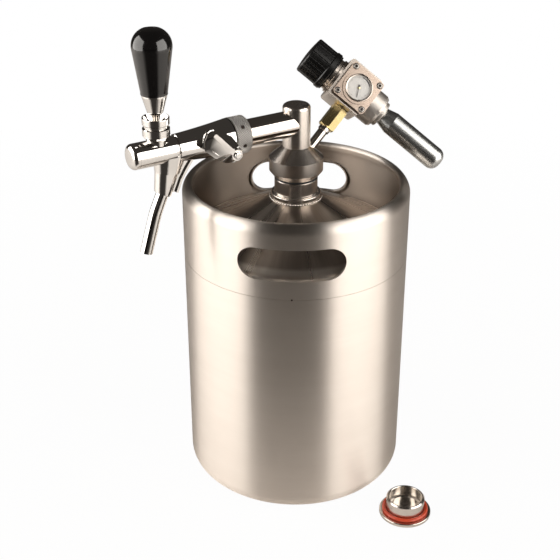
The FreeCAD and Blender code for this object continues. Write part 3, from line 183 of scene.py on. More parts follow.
keg_steel = brushed_round("brushed_stainless_keg", "#E6DED6", "#DCD3CA", 0.38, 0.48, 0.92)
turned_steel = brushed_round("turned_stainless_head", "#E2DAD2", "#DBD2C9", 0.24, 0.26, 0.35, 0.8, depth=0)
cap_steel = brushed_round("turned_stainless_cap", "#DDD7D0", "#CBC4BC", 0.16, 0.28, 0.4, 1.2,
                          depth=0.004 * mm)
print("brushed", keg_steel.name, turned_steel.name, cap_steel.name)

# %% [markdown]
# ## The collar's two faces
# The collar is the same sheet inside and out, and its inside gets painted shade: a darker tone stands in
# for the shade that falls inside the collar. Two pieces could carry two materials. The collar is one piece,
# so its material asks which way the surface faces: where the normal points back at the keg's axis, the
# painted shade is used.

# %% Brushed stainless with painted shade on its inside
collar_steel = brushed_round("brushed_stainless_collar", "#E6DED6", "#DCD3CA", 0.38, 0.48, 0.92)
tree = collar_steel.node_tree
shader = tree.nodes["Principled BSDF"]
normal = add(tree, "ShaderNodeNewGeometry").outputs["Normal"]
facing = add(tree, "ShaderNodeVectorMath", {0: normal, 1: object_point(tree)}, operation="DOT_PRODUCT")
# Painted shade: surfaces that face the keg's axis get the darker tone #A69A8F.
inner_shade_mask = add(tree, "ShaderNodeMapRange", {"Value": facing.outputs["Value"], "From Min": -0.07,
                                          "From Max": 0.03, "To Min": 1.0, "To Max": 0.0})
outer_tone = shader.inputs["Base Color"].links[0].from_socket
inner_shade_tone = add(tree, "ShaderNodeMix", {0: inner_shade_mask.outputs["Result"], 6: outer_tone, 7: linear("#A69A8F")},
            data_type="RGBA")
wire(tree, inner_shade_tone.outputs[2], shader, "Base Color")
print("two-faced", collar_steel.name)


# %% [markdown]
# ## Pressed lid
# The lid inside the collar is pressed from sheet and polished by hand, so its streaks run from the neck
# outward. Its knuckle, where it turns down to the collar, gets a painted highlight: a brighter band in its
# colour. Streaks could follow rings, as on a turned piece, but then the lid would look machined. Here the
# noise reads only the direction from the axis, which makes it the same all the way out.

# %% Pressed stainless with radial streaks and a painted knuckle highlight
def pressed_dome(name, light, dark, knuckle_highlight):
    material, tree, shader = blank(name)
    flat = add(tree, "ShaderNodeVectorMath", {0: object_point(tree), 1: (1, 1, 0)},
               operation="MULTIPLY").outputs[0]
    heading = add(tree, "ShaderNodeVectorMath", {0: flat}, operation="NORMALIZE").outputs[0]
    streak = grain(tree, heading, (7, 7, 1), 6.0)
    reach = add(tree, "ShaderNodeVectorMath", {0: flat}, operation="LENGTH").outputs["Value"]
    # Painted highlight: the tone turns brighter from 74.5 mm out from the axis, fully so beyond 77.5 mm.
    knuckle_highlight_mask = add(tree, "ShaderNodeMapRange", {"Value": reach, "From Min": 0.0745, "From Max": 0.0775})
    streak_span = add(tree, "ShaderNodeMapRange", {"Value": streak, **from_grain, "To Min": 0.0,
                                                   "To Max": 1.0})
    streaked = add(tree, "ShaderNodeMix", {0: streak_span.outputs["Result"], 6: linear(dark),
                                           7: linear(light)}, data_type="RGBA")
    tone = add(tree, "ShaderNodeMix", {0: knuckle_highlight_mask.outputs["Result"], 6: streaked.outputs[2],
                                       7: linear(knuckle_highlight)}, data_type="RGBA")
    rough = add(tree, "ShaderNodeMapRange", {"Value": streak, **from_grain, "To Min": 0.24,
                                             "To Max": 0.34})
    wire(tree, tone.outputs[2], shader, "Base Color")
    wire(tree, rough.outputs["Result"], shader, "Roughness")
    polish_round(tree, shader, 0.5)
    return material


# The last colour is the painted knuckle highlight.
dome_steel = pressed_dome("pressed_stainless_dome", "#CDC2B8", "#A89C91", "#F3EBE2")
print("pressed", dome_steel.name)


# %% [markdown]
# ## Chrome, nickel and brass
# The tap is chromed, the regulator is satin nickel and its nut is brass. Such castings are polished by
# hand before they are plated, so the plate has a slight wave and faint wipe marks. A perfectly smooth
# mirror would look like glass, so a low bump gives the wave and a soft noise varies the roughness.

# %% Plated and polished castings
def plated(name, light, dark, rough_low, rough_high, wave=0.04 * mm, waves_per_metre=90, pits=0.0):
    material, tree, shader = blank(name)
    point = object_point(tree)
    wipe = grain(tree, point, (45, 45, 120), 5.0)
    height = grain(tree, point, even(waves_per_metre), 2.0)
    colour = add(tree, "ShaderNodeMix", {0: wipe, 6: linear(dark), 7: linear(light)}, data_type="RGBA")
    rough = add(tree, "ShaderNodeMapRange", {"Value": wipe, **from_grain, "To Min": rough_low,
                                             "To Max": rough_high})
    wire(tree, colour.outputs[2], shader, "Base Color")
    wire(tree, rough.outputs["Result"], shader, "Roughness")
    shader.inputs["Metallic"].default_value = 1.0
    if pits > 0:
        blasted = grain(tree, point, even(3000), 3.0)
        height = add(tree, "ShaderNodeMath", {0: blasted, 1: pits, 2: height},
                     operation="MULTIPLY_ADD").outputs[0]
    swell = add(tree, "ShaderNodeBump", {"Height": height, "Strength": 0.3, "Distance": wave})
    wire(tree, swell.outputs["Normal"], shader, "Normal")
    return material


weld_steel = plated("bright_weld_bead", "#F0EAE3", "#D9D0C6", 0.12, 0.3, 0.08 * mm, 900)
tap_chrome = plated("polished_chrome_tap", "#F1EFEC", "#E7E4E0", 0.03, 0.07, 0.01 * mm)
shank_steel = plated("polished_stainless_shank", "#E6E0DA", "#DED7CF", 0.07, 0.13, 0.01 * mm)
nickel = plated("satin_nickel_regulator", "#E0D6CC", "#D3C8BD", 0.20, 0.30, 0.01 * mm, 160, 0.2)
plate_nickel = plated("champagne_nickel_plate", "#DCC9BA", "#CDB9A9", 0.22, 0.32, 0.01 * mm, 160, 0.2)
brass = plated("bright_brass_nut", "#F8E7B0", "#EDD595", 0.20, 0.28, 0.004 * mm)
holder_nickel = plated("satin_nickel_holder", "#EFE9E2", "#E2DBD3", 0.40, 0.48, 0.002 * mm)
screw_steel = plated("bright_steel_screws", "#B9B4AE", "#9A958F", 0.18, 0.3)
print("plated", tap_chrome.name, nickel.name, brass.name)


# %% [markdown]
# ## Cartridge steel
# A gas cartridge is deep drawn from sheet and zinc plated, so long draw marks run along it under a cloudy
# grey tone. The marks need the cartridge's own direction, which is why its frame is used here.

# %% Drawn steel
def drawn_steel(name, light, dark, matrix):
    material, tree, shader = blank(name)
    point = object_point(tree, matrix)
    draw = grain(tree, point, (700, 700, 18), 4.0)
    cloud = grain(tree, point, (120, 120, 50), 4.0)
    colour = add(tree, "ShaderNodeMix", {0: cloud, 6: linear(dark), 7: linear(light)}, data_type="RGBA")
    rough = add(tree, "ShaderNodeMapRange", {"Value": draw, **from_grain, "To Min": 0.24, "To Max": 0.34})
    marks = add(tree, "ShaderNodeBump", {"Height": draw, "Strength": 0.2, "Distance": 0.008 * mm})
    wire(tree, colour.outputs[2], shader, "Base Color")
    wire(tree, rough.outputs["Result"], shader, "Roughness")
    wire(tree, marks.outputs["Normal"], shader, "Normal")
    shader.inputs["Metallic"].default_value = 1.0
    return material


cartridge_steel = drawn_steel("drawn_steel_cartridge", "#CFD0CE", "#B9BBBA", cartridge_axis)
print("drawn", cartridge_steel.name)


# %% [markdown]
# ## Moulded plastics, rubber and enamel
# The grip is glossy moulded plastic under a clear coat, the knob is satin, and the seals are rubber and
# silicone. All are one colour with a faint unevenness and the fine grain of their mould, so one recipe
# with different numbers serves them all.

# %% Moulded and enamelled finishes
def moulded(name, light, dark, rough_low, rough_high, grains_per_metre, depth, coat=0.0):
    material, tree, shader = blank(name)
    point = object_point(tree)
    mould = grain(tree, point, even(grains_per_metre), 4.0)
    patch = grain(tree, point, even(60), 3.0)
    colour = add(tree, "ShaderNodeMix", {0: patch, 6: linear(dark), 7: linear(light)}, data_type="RGBA")
    rough = add(tree, "ShaderNodeMapRange", {"Value": patch, **from_grain, "To Min": rough_low,
                                             "To Max": rough_high})
    texture = add(tree, "ShaderNodeBump", {"Height": mould, "Strength": 0.3, "Distance": depth})
    wire(tree, colour.outputs[2], shader, "Base Color")
    wire(tree, rough.outputs["Result"], shader, "Roughness")
    wire(tree, texture.outputs["Normal"], shader, "Normal")
    if coat:
        shader.inputs["Coat Weight"].default_value = coat
        shader.inputs["Coat Roughness"].default_value = 0.06
    return material


grip_black = moulded("glossy_black_grip", "#131212", "#0B0A0A", 0.10, 0.17, 120, 0.03 * mm, 0.6)
knob_black = moulded("satin_black_knob", "#0D0C0C", "#070707", 0.26, 0.36, 2600, 0.006 * mm)
rubber_black = moulded("matt_black_rubber", "#1B1A1A", "#121111", 0.6, 0.75, 1800, 0.04 * mm)
nylon = moulded("natural_nylon", "#E5E0D5", "#D8D2C6", 0.4, 0.5, 900, 0.03 * mm)
dial_white = moulded("printed_dial_white", "#F4F2EE", "#EAE7E2", 0.45, 0.55, 1500, 0.01 * mm)
dial_ink = moulded("printed_dial_black", "#1D1C1B", "#141312", 0.5, 0.6, 1500, 0.01 * mm)
# This dark tone is painted shade in the screw sockets and spanner holes, and the weld spot's own dark colour.
shade_and_weld_dark = moulded("painted_socket_shade_and_dark_weld", "#3A2A24", "#241A17", 0.4, 0.5, 1200, 0.01 * mm)
needle_dark = moulded("enamelled_needle", "#3A3732", "#25231F", 0.3, 0.4, 1200, 0.01 * mm)
silicone_red = moulded("red_silicone_seal", "#D4502F", "#B93B20", 0.34, 0.46, 1400, 0.03 * mm, 0.2)
print("moulded", grip_black.name, knob_black.name, silicone_red.name)

# %% [markdown]
# ## Gauge lens
# The gauge has a thin clear window. A refracting shader would darken the dial behind it, because few
# light paths reach through it, so the window is nearly see-through by its alpha and keeps only a gloss.

# %% Clear window
lens_clear, tree, shader = blank("clear_gauge_lens")
film = grain(tree, object_point(tree), even(300), 3.0)
smear = add(tree, "ShaderNodeMapRange", {"Value": film, **from_grain, "To Min": 0.02, "To Max": 0.05})
haze = add(tree, "ShaderNodeMapRange", {"Value": film, **from_grain, "To Min": 0.05, "To Max": 0.09})
wire(tree, smear.outputs["Result"], shader, "Roughness")
wire(tree, haze.outputs["Result"], shader, "Alpha")
shader.inputs["Base Color"].default_value = linear("#FFFFFF")
print("clear", lens_clear.name)

# %% [markdown]
# ## Knurled plate
# The coupling nut is satin chrome, and painted shade darkens the valleys of its knurl. A later cell
# cuts the knurl. The painted shade is a matter of height, so the material measures the distance from the
# tap's axis, and goes from grey at the groove's floor to bright at its crest.

# %% Chrome with painted shade in its valleys
rim_radius = 14.4
knurl_chrome = plated("knurled_chrome_nut", "#F4F2EF", "#E6E3DF", 0.40, 0.48, 0.002 * mm)
tree = knurl_chrome.node_tree
shader = tree.nodes["Principled BSDF"]
across = add(tree, "ShaderNodeVectorMath", {0: object_point(tree, tap_axis), 1: (1, 1, 0)},
             operation="MULTIPLY")
from_axis = add(tree, "ShaderNodeVectorMath", {0: across.outputs[0]}, operation="LENGTH")
# Painted shade: grey at the knurl's groove floor, turning bright towards its crest.
knurl_shade_by_height = add(tree, "ShaderNodeMapRange", {"Value": from_axis.outputs["Value"],
                                        "From Min": (rim_radius - 0.55) * mm,
                                        "From Max": (rim_radius - 0.08) * mm})
knurl_painted_shade_tone = add(tree, "ShaderNodeMix", {0: knurl_shade_by_height.outputs["Result"], 6: linear("#4E4843"),
                                         7: linear("#F4F1ED")}, data_type="RGBA")
plain_tone = shader.inputs["Base Color"].links[0].from_node
wire(tree, knurl_painted_shade_tone.outputs[2], shader, "Base Color")
tree.nodes.remove(plain_tone)
print("knurled", knurl_chrome.name)

# %% [markdown]
# ## Finish for each carried-over piece
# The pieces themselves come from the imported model, so here they only get a finish. One table lists them
# by finish, which shows at a glance what is made of the same metal.

# %% Finishes
finishes = {
    keg_steel: ["keg_body"],
    collar_steel: ["top_collar"],
    dome_steel: ["keg_dome"],
    turned_steel: ["neck_fitting", "head_body", "dip_tube"],
    shank_steel: ["shank_tube", "gas_stem", "tap_lever", "tap_shaft"],
    tap_chrome: ["tap_body", "front_cap", "lever_bonnet", "handle_ferrule", "spout_tube", "flow_lever",
                 "flow_lever_screw"],
    knurl_chrome: ["coupling_nut"],
    nylon: ["ball_seat", "flow_core"],
    rubber_black: ["head_seal", "tap_washer", "seat_washer", "gas_washer", "cartridge_seal", "diaphragm"],
    grip_black: ["handle_grip"],
    brass: ["gas_nut"],
    nickel: ["regulator_body", "regulator_bonnet", "gauge_case", "gauge_bezel"],
    holder_nickel: ["cartridge_holder"],
    plate_nickel: ["gauge_plate"],
    knob_black: ["pressure_knob"],
    dial_white: ["gauge_dial"],
    needle_dark: ["gauge_needle"],
    lens_clear: ["gauge_lens"],
    screw_steel: ["plate_screws", "range_spring", "adjusting_screw", "piercing_pin"],
    cartridge_steel: ["gas_cartridge"],
    cap_steel: ["spare_cap"],
    silicone_red: ["spare_cap_seal"],
}
for material, names in finishes.items():
    for name in names:
        for slot in nodes[name].material_slots:
            slot.material = material
print("finished nodes", sum(len(names) for names in finishes.values()))


# %% [markdown]
# ## Tools for new pieces
# Each added piece starts as a bmesh, which is a mesh that can be edited by operators. Small parts here
# are blocks, round parts turned from a profile, and round beads along a line. The turned ones use spin,
# as a lathe does. Positions are baked into the mesh, so each object stays at the origin.

# %% From a bmesh to a finished piece
def new_piece(name, shape, material, ride, place=None):
    """Give a bmesh its place and finish, and say which body it moves with."""
    if place is not None:
        bmesh.ops.transform(shape, matrix=place, verts=shape.verts)
    bmesh.ops.recalc_face_normals(shape, faces=shape.faces)
    mesh = bpy.data.meshes.new(name)
    shape.to_mesh(mesh)
    shape.free()
    mesh.materials.append(material)
    made = bpy.data.objects.new(name, mesh)
    bpy.context.collection.objects.link(made)
    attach(made, ride)
    print(name, len(mesh.polygons), "faces")
    return made


def smooth(piece, sharp_angle=35):
    for face in piece.data.polygons:
        face.use_smooth = True
    piece.data.set_sharp_from_angle(angle=math.radians(sharp_angle))


# %% Blocks and turned shapes
def bar(shape, matrix, length, width, thick):
    """A small block lying along its own X, thin in Z, in metres."""
    made = bmesh.ops.create_cube(shape, size=1.0)["verts"]
    bmesh.ops.transform(shape, matrix=matrix @ Matrix.Diagonal((length, width, thick, 1)), verts=made)


def lathe(shape, profile, matrix, segments=96):
    """Turn a profile of (radius, height) points, in millimetres, about the frame's Z."""
    line = [shape.verts.new(matrix @ Vector((radius * mm, 0, height * mm))) for radius, height in profile]
    edges = [shape.edges.new(pair) for pair in zip(line, line[1:])]
    bmesh.ops.spin(shape, geom=line + edges, cent=matrix.translation, axis=matrix.col[2].to_3d(),
                   angle=math.tau, steps=segments, use_merge=True, use_duplicate=False)


def close_centre(shape):
    """Merge the points that a turned profile leaves on its axis."""
    bmesh.ops.remove_doubles(shape, verts=shape.verts, dist=0.000002)
    bmesh.ops.dissolve_degenerate(shape, edges=shape.edges, dist=0.000001)


# %% Round beads
def tube(shape, points, radius, matrix, sides=12):
    """A round bead along a line of points, in millimetres, with closed ends."""
    line = [Vector(p) * mm for p in points]
    last = len(line) - 1
    rings = []
    for k, here in enumerate(line):
        ahead = (line[min(k + 1, last)] - line[max(k - 1, 0)]).normalized()
        side = ahead.cross(Vector((0, 0, 1))).normalized()
        up = side.cross(ahead)
        rings.append([shape.verts.new(matrix @ (here + radius * mm * (math.cos(a) * side + math.sin(a) * up)))
                      for a in (math.tau * n / sides for n in range(sides))])
    for near, far in zip(rings, rings[1:]):
        for n in range(sides):
            m = (n + 1) % sides
            shape.faces.new((near[n], near[m], far[m], far[n]))
    shape.faces.new(rings[0])
    shape.faces.new(rings[-1])


# %% [markdown]
# ## Gauge dial
# The dial carries a plain scale: short ticks round three quarters of it, longer ones at every fifth, and
# a thick arc at the high end. It could be an image, but thin raised blocks stay sharp at any size. They
# ride with the regulator, just above the printed ground.

# %% Scale
dial_top = 17.5
dial_up = math.radians(-36)
tick_raise = 0.03
scale = bmesh.new()


def scale_mark(degrees, middle, raise_by, long, wide):
    """One printed mark, its middle so far from the dial's centre, at so many degrees from upright."""
    around = math.radians(degrees) + dial_up
    spot = (gauge_frame @ Matrix.Rotation(quarter_turn - around, 4, "Z")
            @ Matrix.Translation((middle * mm, 0, (dial_top + raise_by) * mm)))
    bar(scale, spot, long * mm, wide * mm, 0.04 * mm)


tick_outer = 8.9
for step in range(31):
    long = 1.5 if step % 5 == 0 else 0.8
    scale_mark(-135 + 9 * step, tick_outer - long / 2, tick_raise, long, 0.22)
for step in range(24):
    scale_mark(22 + 2.6 * step, 8.75, tick_raise + 0.01, 0.8, 0.42)
new_piece("dial_scale", scale, dial_ink, "regulator")

# %% [markdown]
# ## Gauge needle
# The needle is a thin stamped pointer with a broad tail, pressed on a small brass hub. The model's own
# needle keeps its movement, and these finer pieces take its place and ride the same body.

# %% Pointer and hub
pointer = bmesh.new()
aim = gauge_frame @ Matrix.Rotation(math.radians(24), 4, "Z")
pointer_raise = 0.62
for along, wide, long in ((-4.0, 0.55, 6.6), (1.6, 1.5, 2.0)):
    at = aim @ Matrix.Translation((0, along * mm, (dial_top + pointer_raise) * mm))
    bar(pointer, at, wide * mm, long * mm, 0.22 * mm)
needle = new_piece("needle_pointer", pointer, needle_dark, "needle")
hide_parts("gauge_needle")

hub = bmesh.new()
hub_profile = [(0.0, -0.4), (0.5, -0.4), (0.5, 0.3), (1.05, 0.35), (1.05, 0.75), (0.7, 1.0), (0.0, 1.05)]
lathe(hub, [(radius, dial_top + height) for radius, height in hub_profile], gauge_frame, 32)
close_centre(hub)
smooth(new_piece("needle_hub", hub, brass, "needle"))

# %% [markdown]
# ## Screw sockets
# Four socket screws hold the gauge's plate. Each sits in a shallow recess and has a six-sided socket,
# and shade falls in both. Cutting them into the plate would show no more than this, so thin dark rings and
# six-sided discs are laid in place as painted shade.

# %% Painted shade in the recesses and sockets
recess_shade = bmesh.new()
screw_place = 11.9
for across in (-screw_place, screw_place):
    for up in (-screw_place, screw_place):
        at = gauge_frame @ Matrix.Translation((across * mm, up * mm, 0))
        # Painted shade: a dark ring round each screw head and a dark six-sided disc in its socket.
        lathe(recess_shade, [(2.34, 17.83), (2.34, 17.87), (2.8, 17.87), (2.8, 17.83), (2.34, 17.83)], at, 32)
        lathe(recess_shade, [(0.0, 17.56), (1.04, 17.56), (1.04, 17.6), (0.0, 17.6)], at, 6)
close_centre(recess_shade)
new_piece("screw_recess_shade", recess_shade, shade_and_weld_dark, "regulator")

# %% [markdown]
# ## Domed front cap
# The cap that closes the barrel is screwed in and polished over with it, so its edge is soft and its face
# is faintly domed. A bevel would round the edge but leave the face flat, so the whole profile is turned.

# %% Cap turned from a profile
barrel_radius = 9.6
edge_round = 3.6
edge_start = 137.5
cap_edge = []
for degrees in range(0, 91, 6):
    angle = math.radians(degrees)
    cap_edge.append((barrel_radius - edge_round * (1 - math.cos(angle)),
                     edge_start + edge_round * math.sin(angle)))
cap_back = [(0.0, 131.0), (7.15, 131.0), (7.15, 135.72), (barrel_radius, 135.72)]
cap_face = [(4.0, 141.2), (2.0, 141.27), (0.0, 141.3)]
cap = bmesh.new()
lathe(cap, cap_back + cap_edge + cap_face, tap_axis, 128)
close_centre(cap)
domed_cap = new_piece("domed_front_cap", cap, tap_chrome, "head")
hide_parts("front_cap")
smooth(domed_cap)

# %% [markdown]
# ## Flow lever
# The thumb lever is one casting: a hub, a roof-shaped blade with a narrow flat ridge, a rounded rim at its
# end and a raised loop on the lower slope. Its two outlines are too uneven for a bevel, so the blade
# joins a foot outline to a ridge outline, and the hub, rim and loop are laid on it.

# %% Blade between its foot and its ridge
flow_pivot = (63.9 * mm, 0, -7.0 * mm)
flow_rest_angle = math.radians(-48)
flow_frame = (tap_frame @ Matrix.Translation(flow_pivot) @ Matrix.Rotation(-quarter_turn, 4, "X")
              @ Matrix.Rotation(flow_rest_angle, 4, "Z"))
blade_foot = [(-4.6, 3.2), (-3.6, -3.4), (-1.2, -5.0), (3.0, -6.6), (11.8, -7.6), (21.0, -4.6), (29.4, -0.6),
              (30.8, 1.6), (30.6, 4.4), (28.0, 9.6), (25.0, 12.6), (20.4, 13.6), (12.0, 12.8), (4.3, 11.0),
              (0.0, 9.2), (-3.0, 6.4)]
blade_ridge = [(3.0, -1.0), (3.6, -1.2), (6.0, -1.2), (9.0, -1.1), (13.0, -1.0), (20.0, -0.9), (25.6, -0.6),
               (26.4, 0.2), (26.6, 1.4), (26.2, 2.4), (25.4, 2.9), (20.4, 2.9), (12.0, 2.8), (6.0, 2.7),
               (3.6, 2.6), (3.0, 2.2)]
blade = bmesh.new()


def outline_at(points, height):
    return [blade.verts.new(flow_frame @ Vector((x * mm, y * mm, height * mm))) for x, y in points]


low = outline_at(blade_foot, 14.95)
brim = outline_at(blade_foot, 16.6)
crest = outline_at(blade_ridge, 20.7)
for k in range(len(blade_foot)):
    m = (k + 1) % len(blade_foot)
    blade.faces.new((low[k], low[m], brim[m], brim[k]))
    blade.faces.new((brim[k], brim[m], crest[m], crest[k]))
blade.faces.new(list(reversed(low)))
blade.faces.new(crest)
print("blade", len(blade.faces), "faces")

# %% Hub, shaft, rim and loop
lathe(blade, [(0.0, 14.72), (5.8, 14.72), (5.8, 16.3), (5.0, 16.9), (5.0, 19.8), (4.3, 20.5), (0.0, 20.5)],
      flow_frame, 64)
lathe(blade, [(0.0, 5.2), (3.5, 5.2), (3.5, 14.72), (0.0, 14.72)], flow_frame, 48)
close_centre(blade)
rim_line = [(27.6, -1.4, 16.3), (29.6, 0.6, 16.4), (30.0, 3.0, 16.4), (29.0, 6.2, 16.4), (26.8, 9.8, 16.3),
            (24.4, 12.0, 16.2)]
loop_line = [(9.0, 5.6, 18.9), (13.0, 5.8, 18.9), (17.0, 6.2, 18.7), (18.6, 7.4, 18.3), (18.4, 9.0, 17.9),
             (16.6, 10.0, 17.5), (12.0, 9.6, 17.5), (8.0, 8.8, 17.5)]
tube(blade, rim_line, 1.2, flow_frame)
tube(blade, loop_line, 0.55, flow_frame)
flow_blade = new_piece("cast_flow_lever", blade, tap_chrome, "flow_hand_lever")
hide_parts("flow_lever")
smooth(flow_blade, 25)

# %% [markdown]
# ## Knurled coupling nut
# The nut's rim is knurled for grip and has six square holes for a hook spanner. Real knurling rolls two
# sets of crossing grooves into the rim. A bump would fake them, but the rim's outline would stay smooth,
# so each point of the rim takes its radius from how near it is to a groove of either set.

# %% Rim with two sets of grooves
around_steps = 540
along_steps = 56
rim_start = 47.5
rim_length = 11.8
groove_count = 54
groove_lead = 1.7
groove_depth = 0.6
hole_turn = 47
hole_along = 53.4
hole_half = 1.45
hole_floor = 13.42


def from_groove(turns, along):
    """0 in the middle between two grooves of one set, 1 in a groove."""
    return abs(((turns + along) % 1.0) - 0.5) * 2


def nut_radius_at(angle, along):
    turns = angle * groove_count / math.tau
    first = from_groove(turns, along / groove_lead)
    second = from_groove(turns, -along / groove_lead)
    from_hole = ((math.degrees(angle) + hole_turn + 30) % 60 - 30) * math.radians(1) * rim_radius
    if abs(from_hole) < hole_half and abs(along - hole_along) < hole_half:
        return hole_floor
    return rim_radius - groove_depth * (1 - min(1.0, 1.5 * first, 2.2 * second))


nut = bmesh.new()
lathe(nut, [(14.1, 59.3), (13.75, 59.95), (13.4, 59.98), (13.4, 50.0), (10.6, 50.0), (10.6, 46.85),
            (13.75, 46.85), (14.1, 47.5)], tap_axis, around_steps)
rows = []
for k in range(along_steps + 1):
    along = rim_start + rim_length * k / along_steps
    row = []
    for n in range(around_steps):
        angle = math.tau * n / around_steps
        radius = nut_radius_at(angle, along) * mm
        row.append(nut.verts.new(tap_axis @ Vector((-radius * math.cos(angle), -radius * math.sin(angle),
                                                    along * mm))))
    rows.append(row)
for near, far in zip(rows, rows[1:]):
    for n in range(around_steps):
        m = (n + 1) % around_steps
        nut.faces.new((near[n], near[m], far[m], far[n]))

# %% Shade in the spanner holes
holes = bmesh.new()
for step in range(6):
    around = math.radians(180 - hole_turn - 60 * step)
    at = (tap_axis @ Matrix.Rotation(around, 4, "Z")
          @ Matrix.Translation((13.5 * mm, 0, hole_along * mm)))
    bar(holes, at, 0.12 * mm, 2 * hole_half * mm, 2 * hole_half * mm)
new_piece("spanner_hole_shade", holes, shade_and_weld_dark, "nut")
knurled_nut = new_piece("knurled_coupling_nut", nut, knurl_chrome, "nut")
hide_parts("coupling_nut")
smooth(knurled_nut, 20)

# %% [markdown]
# ## Weld bead
# The neck's ring is welded to the lid by hand, which leaves a bright rippled bead. A plain ring would look
# moulded, so the bead's line sways by a tenth of a millimetre or so in two rhythms that never meet.

# %% Bead round the neck
bead_radius = 20.35
bead_height = 243.75
bead_points = []
for degrees in range(361):
    angle = math.radians(degrees)
    ripple = 0.16 * math.sin(angle * 58) + 0.1 * math.sin(angle * 23 + 1)
    radius = bead_radius + ripple
    bead_points.append((radius * math.cos(angle), radius * math.sin(angle), bead_height + ripple * 0.8))
bead = bmesh.new()
tube(bead, bead_points, 0.75, Matrix.Identity(4), 10)
smooth(new_piece("neck_weld_bead", bead, weld_steel, "keg"), 60)

# %% [markdown]
# ## Seam spot
# The wall's seam ends in a small dark spot of weld. It is a flattened ball that is half sunk in the wall.

# %% Spot at the seam's end
spot = bmesh.new()
bmesh.ops.create_uvsphere(spot, u_segments=16, v_segments=8, radius=0.9 * mm)
spot_place = (Matrix.Rotation(math.radians(-89.7), 4, "Z") @ Matrix.Translation((89.7 * mm, 0, 197.9 * mm))
              @ Matrix.Diagonal((0.5, 1, 1, 1)))
smooth(new_piece("seam_weld_spot", spot, shade_and_weld_dark, "keg", spot_place), 60)

# %% [markdown]
# ## The room
# A dim room keeps the steel's dark bands dark. The white behind the dispenser is for the camera alone,
# by the light path's camera ray, so metal and glass reflect the dim room and not that white. Adding
# glossy and transmission rays would show them the white as well, and the lamps would need less.

# %% World
world = bpy.data.worlds.new("studio_room")
bpy.context.scene.world = world
world.use_nodes = True
room = world.node_tree
room.nodes.clear()
path = add(room, "ShaderNodeLightPath")
dim = add(room, "ShaderNodeBackground", {"Color": linear("#C9BFB6"), "Strength": 0.07})
white = add(room, "ShaderNodeBackground", {"Color": (1, 1, 1, 1), "Strength": 1.0})
either = add(room, "ShaderNodeMixShader", {0: path.outputs["Is Camera Ray"], 1: dim.outputs[0],
                                           2: white.outputs[0]})
add(room, "ShaderNodeOutputWorld", {0: either.outputs[0]})
print("world", world.name)

# %% [markdown]
# ## The floor
# The floor looks plain and pale, but it is not plain to the steel. Its own colour turns dark in a wedge
# in front of the keg, so that the keg's middle band has something dark to reflect. A glow that only the
# camera sees hides the wedge, and nearly all of the dispenser's shadow with it.

# %% Floor, with its dark wedge and its glow
floor_mesh = bpy.data.meshes.new("studio_floor")
plane = bmesh.new()
bmesh.ops.create_grid(plane, x_segments=2, y_segments=2, size=6.0)
plane.to_mesh(floor_mesh)
plane.free()
floor = bpy.data.objects.new("studio_floor", floor_mesh)
bpy.context.collection.objects.link(floor)

floor_paint, tree, shader = blank("pale_table_top")
shader.inputs["Roughness"].default_value = 0.9
place = object_point(tree)
toward_front = (-0.10, -0.995, 0)
away = add(tree, "ShaderNodeVectorMath", {0: place}, operation="LENGTH").outputs["Value"]
fall = add(tree, "ShaderNodeMapRange", {"Value": away, "From Min": 0.20, "From Max": 0.34})
bearing = add(tree, "ShaderNodeVectorMath", {0: place}, operation="NORMALIZE")
front = add(tree, "ShaderNodeVectorMath", {0: bearing.outputs["Vector"], 1: toward_front},
            operation="DOT_PRODUCT")
wedge = add(tree, "ShaderNodeMapRange", {"Value": front.outputs["Value"], "From Min": 0.70,
                                         "From Max": 0.88})
shade = add(tree, "ShaderNodeMath", {0: fall.outputs["Result"], 1: wedge.outputs["Result"]},
            operation="MULTIPLY")
paint = add(tree, "ShaderNodeMix", {0: shade.outputs[0], 6: linear("#F2EEEA"), 7: linear("#2E2A27")},
            data_type="RGBA")
wire(tree, paint.outputs[2], shader, "Base Color")
seen = add(tree, "ShaderNodeLightPath")
glow = add(tree, "ShaderNodeEmission", {"Color": (1, 1, 1, 1), "Strength": 1.0})
plain = add(tree, "ShaderNodeMapRange", {"Value": away, "From Min": 0.15, "From Max": 0.9,
                                         "To Min": 0.965, "To Max": 1.0})
part = add(tree, "ShaderNodeMath", {0: seen.outputs["Is Camera Ray"], 1: plain.outputs["Result"]},
           operation="MULTIPLY")
joined = add(tree, "ShaderNodeMixShader", {0: part.outputs[0], 1: shader.outputs[0], 2: glow.outputs[0]})
tree.links.new(joined.outputs[0], tree.nodes["Material Output"].inputs["Surface"])
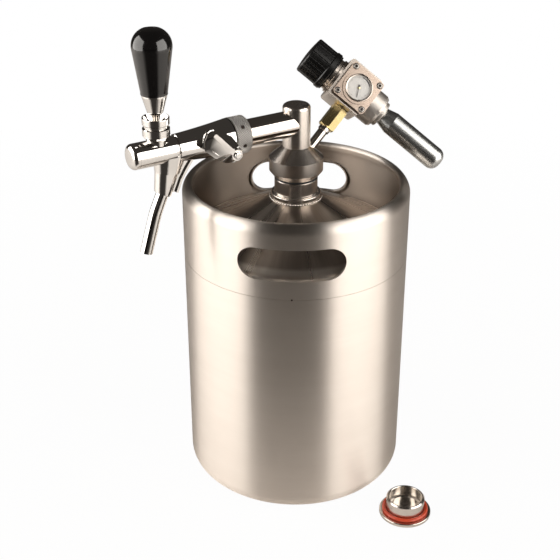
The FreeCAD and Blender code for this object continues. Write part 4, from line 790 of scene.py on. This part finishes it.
floor_mesh.materials.append(floor_paint)
print("floor", floor_paint.name)


# %% [markdown]
# ## Soft boxes
# Polished steel shows its lamps. Two tall soft boxes at the sides give the keg its two bright bands, with
# the darker band between them, and a weak one above lifts the lid. The one above is hidden from glossy
# rays, because chrome would show it as a hard spot.

# %% Lamps
def soft_box(name, around, distance, wide, low, high, brightness, colour="#FFFBF6"):
    """A soft box facing the keg. Around is its bearing from the camera's side, brightness its radiance."""
    bearing = math.radians(around)
    tall = high - low
    place = Vector((distance * math.sin(bearing), -distance * math.cos(bearing), (low + high) / 2))
    light = bpy.data.lights.new(name, "AREA")
    light.shape = "RECTANGLE"
    light.size = wide
    light.size_y = tall
    light.energy = brightness * math.pi * wide * tall
    light.color = linear(colour)[:3]
    made = bpy.data.objects.new(name, light)
    made.location = place
    made.rotation_euler = (Vector((0, 0, place.z)) - place).to_track_quat("-Z", "Y").to_euler()
    made.visible_camera = False
    bpy.context.collection.objects.link(made)
    return made


soft_box("left_soft_box", -77, 1.3, 1.75, 0.02, 1.5, 3.5)
soft_box("right_soft_box", 67, 1.3, 1.55, 0.02, 1.5, 3.5)
top = soft_box("top_soft_box", 0, 0.001, 0.7, 1.4, 1.9, 1.2)
top.visible_glossy = False
top.location = (0.1, 0.5, 1.5)
top.rotation_euler = (Vector((0, 0, 0.2)) - top.location).to_track_quat("-Z", "Y").to_euler()
print("soft boxes", 3)

# %% [markdown]
# ## Camera
# A camera at the photograph's viewing angle: in front of the keg and above its rim, looking down. Its
# place and lens were fitted to the keg's own rim, slots and seam.

# %% Camera and view
lens = bpy.data.cameras.new("camera")
lens.lens = 73.29
lens.sensor_width = 36.0
camera = bpy.data.objects.new("camera", lens)
camera.location = (0.0280, -0.8322, 0.6054)
camera.rotation_euler = Vector((-0.0432, 0.8841, -0.4653)).to_track_quat("-Z", "Y").to_euler()
bpy.context.collection.objects.link(camera)
scene = bpy.context.scene
scene.camera = camera
scene.view_settings.view_transform = "Standard"
print("camera", camera.name)
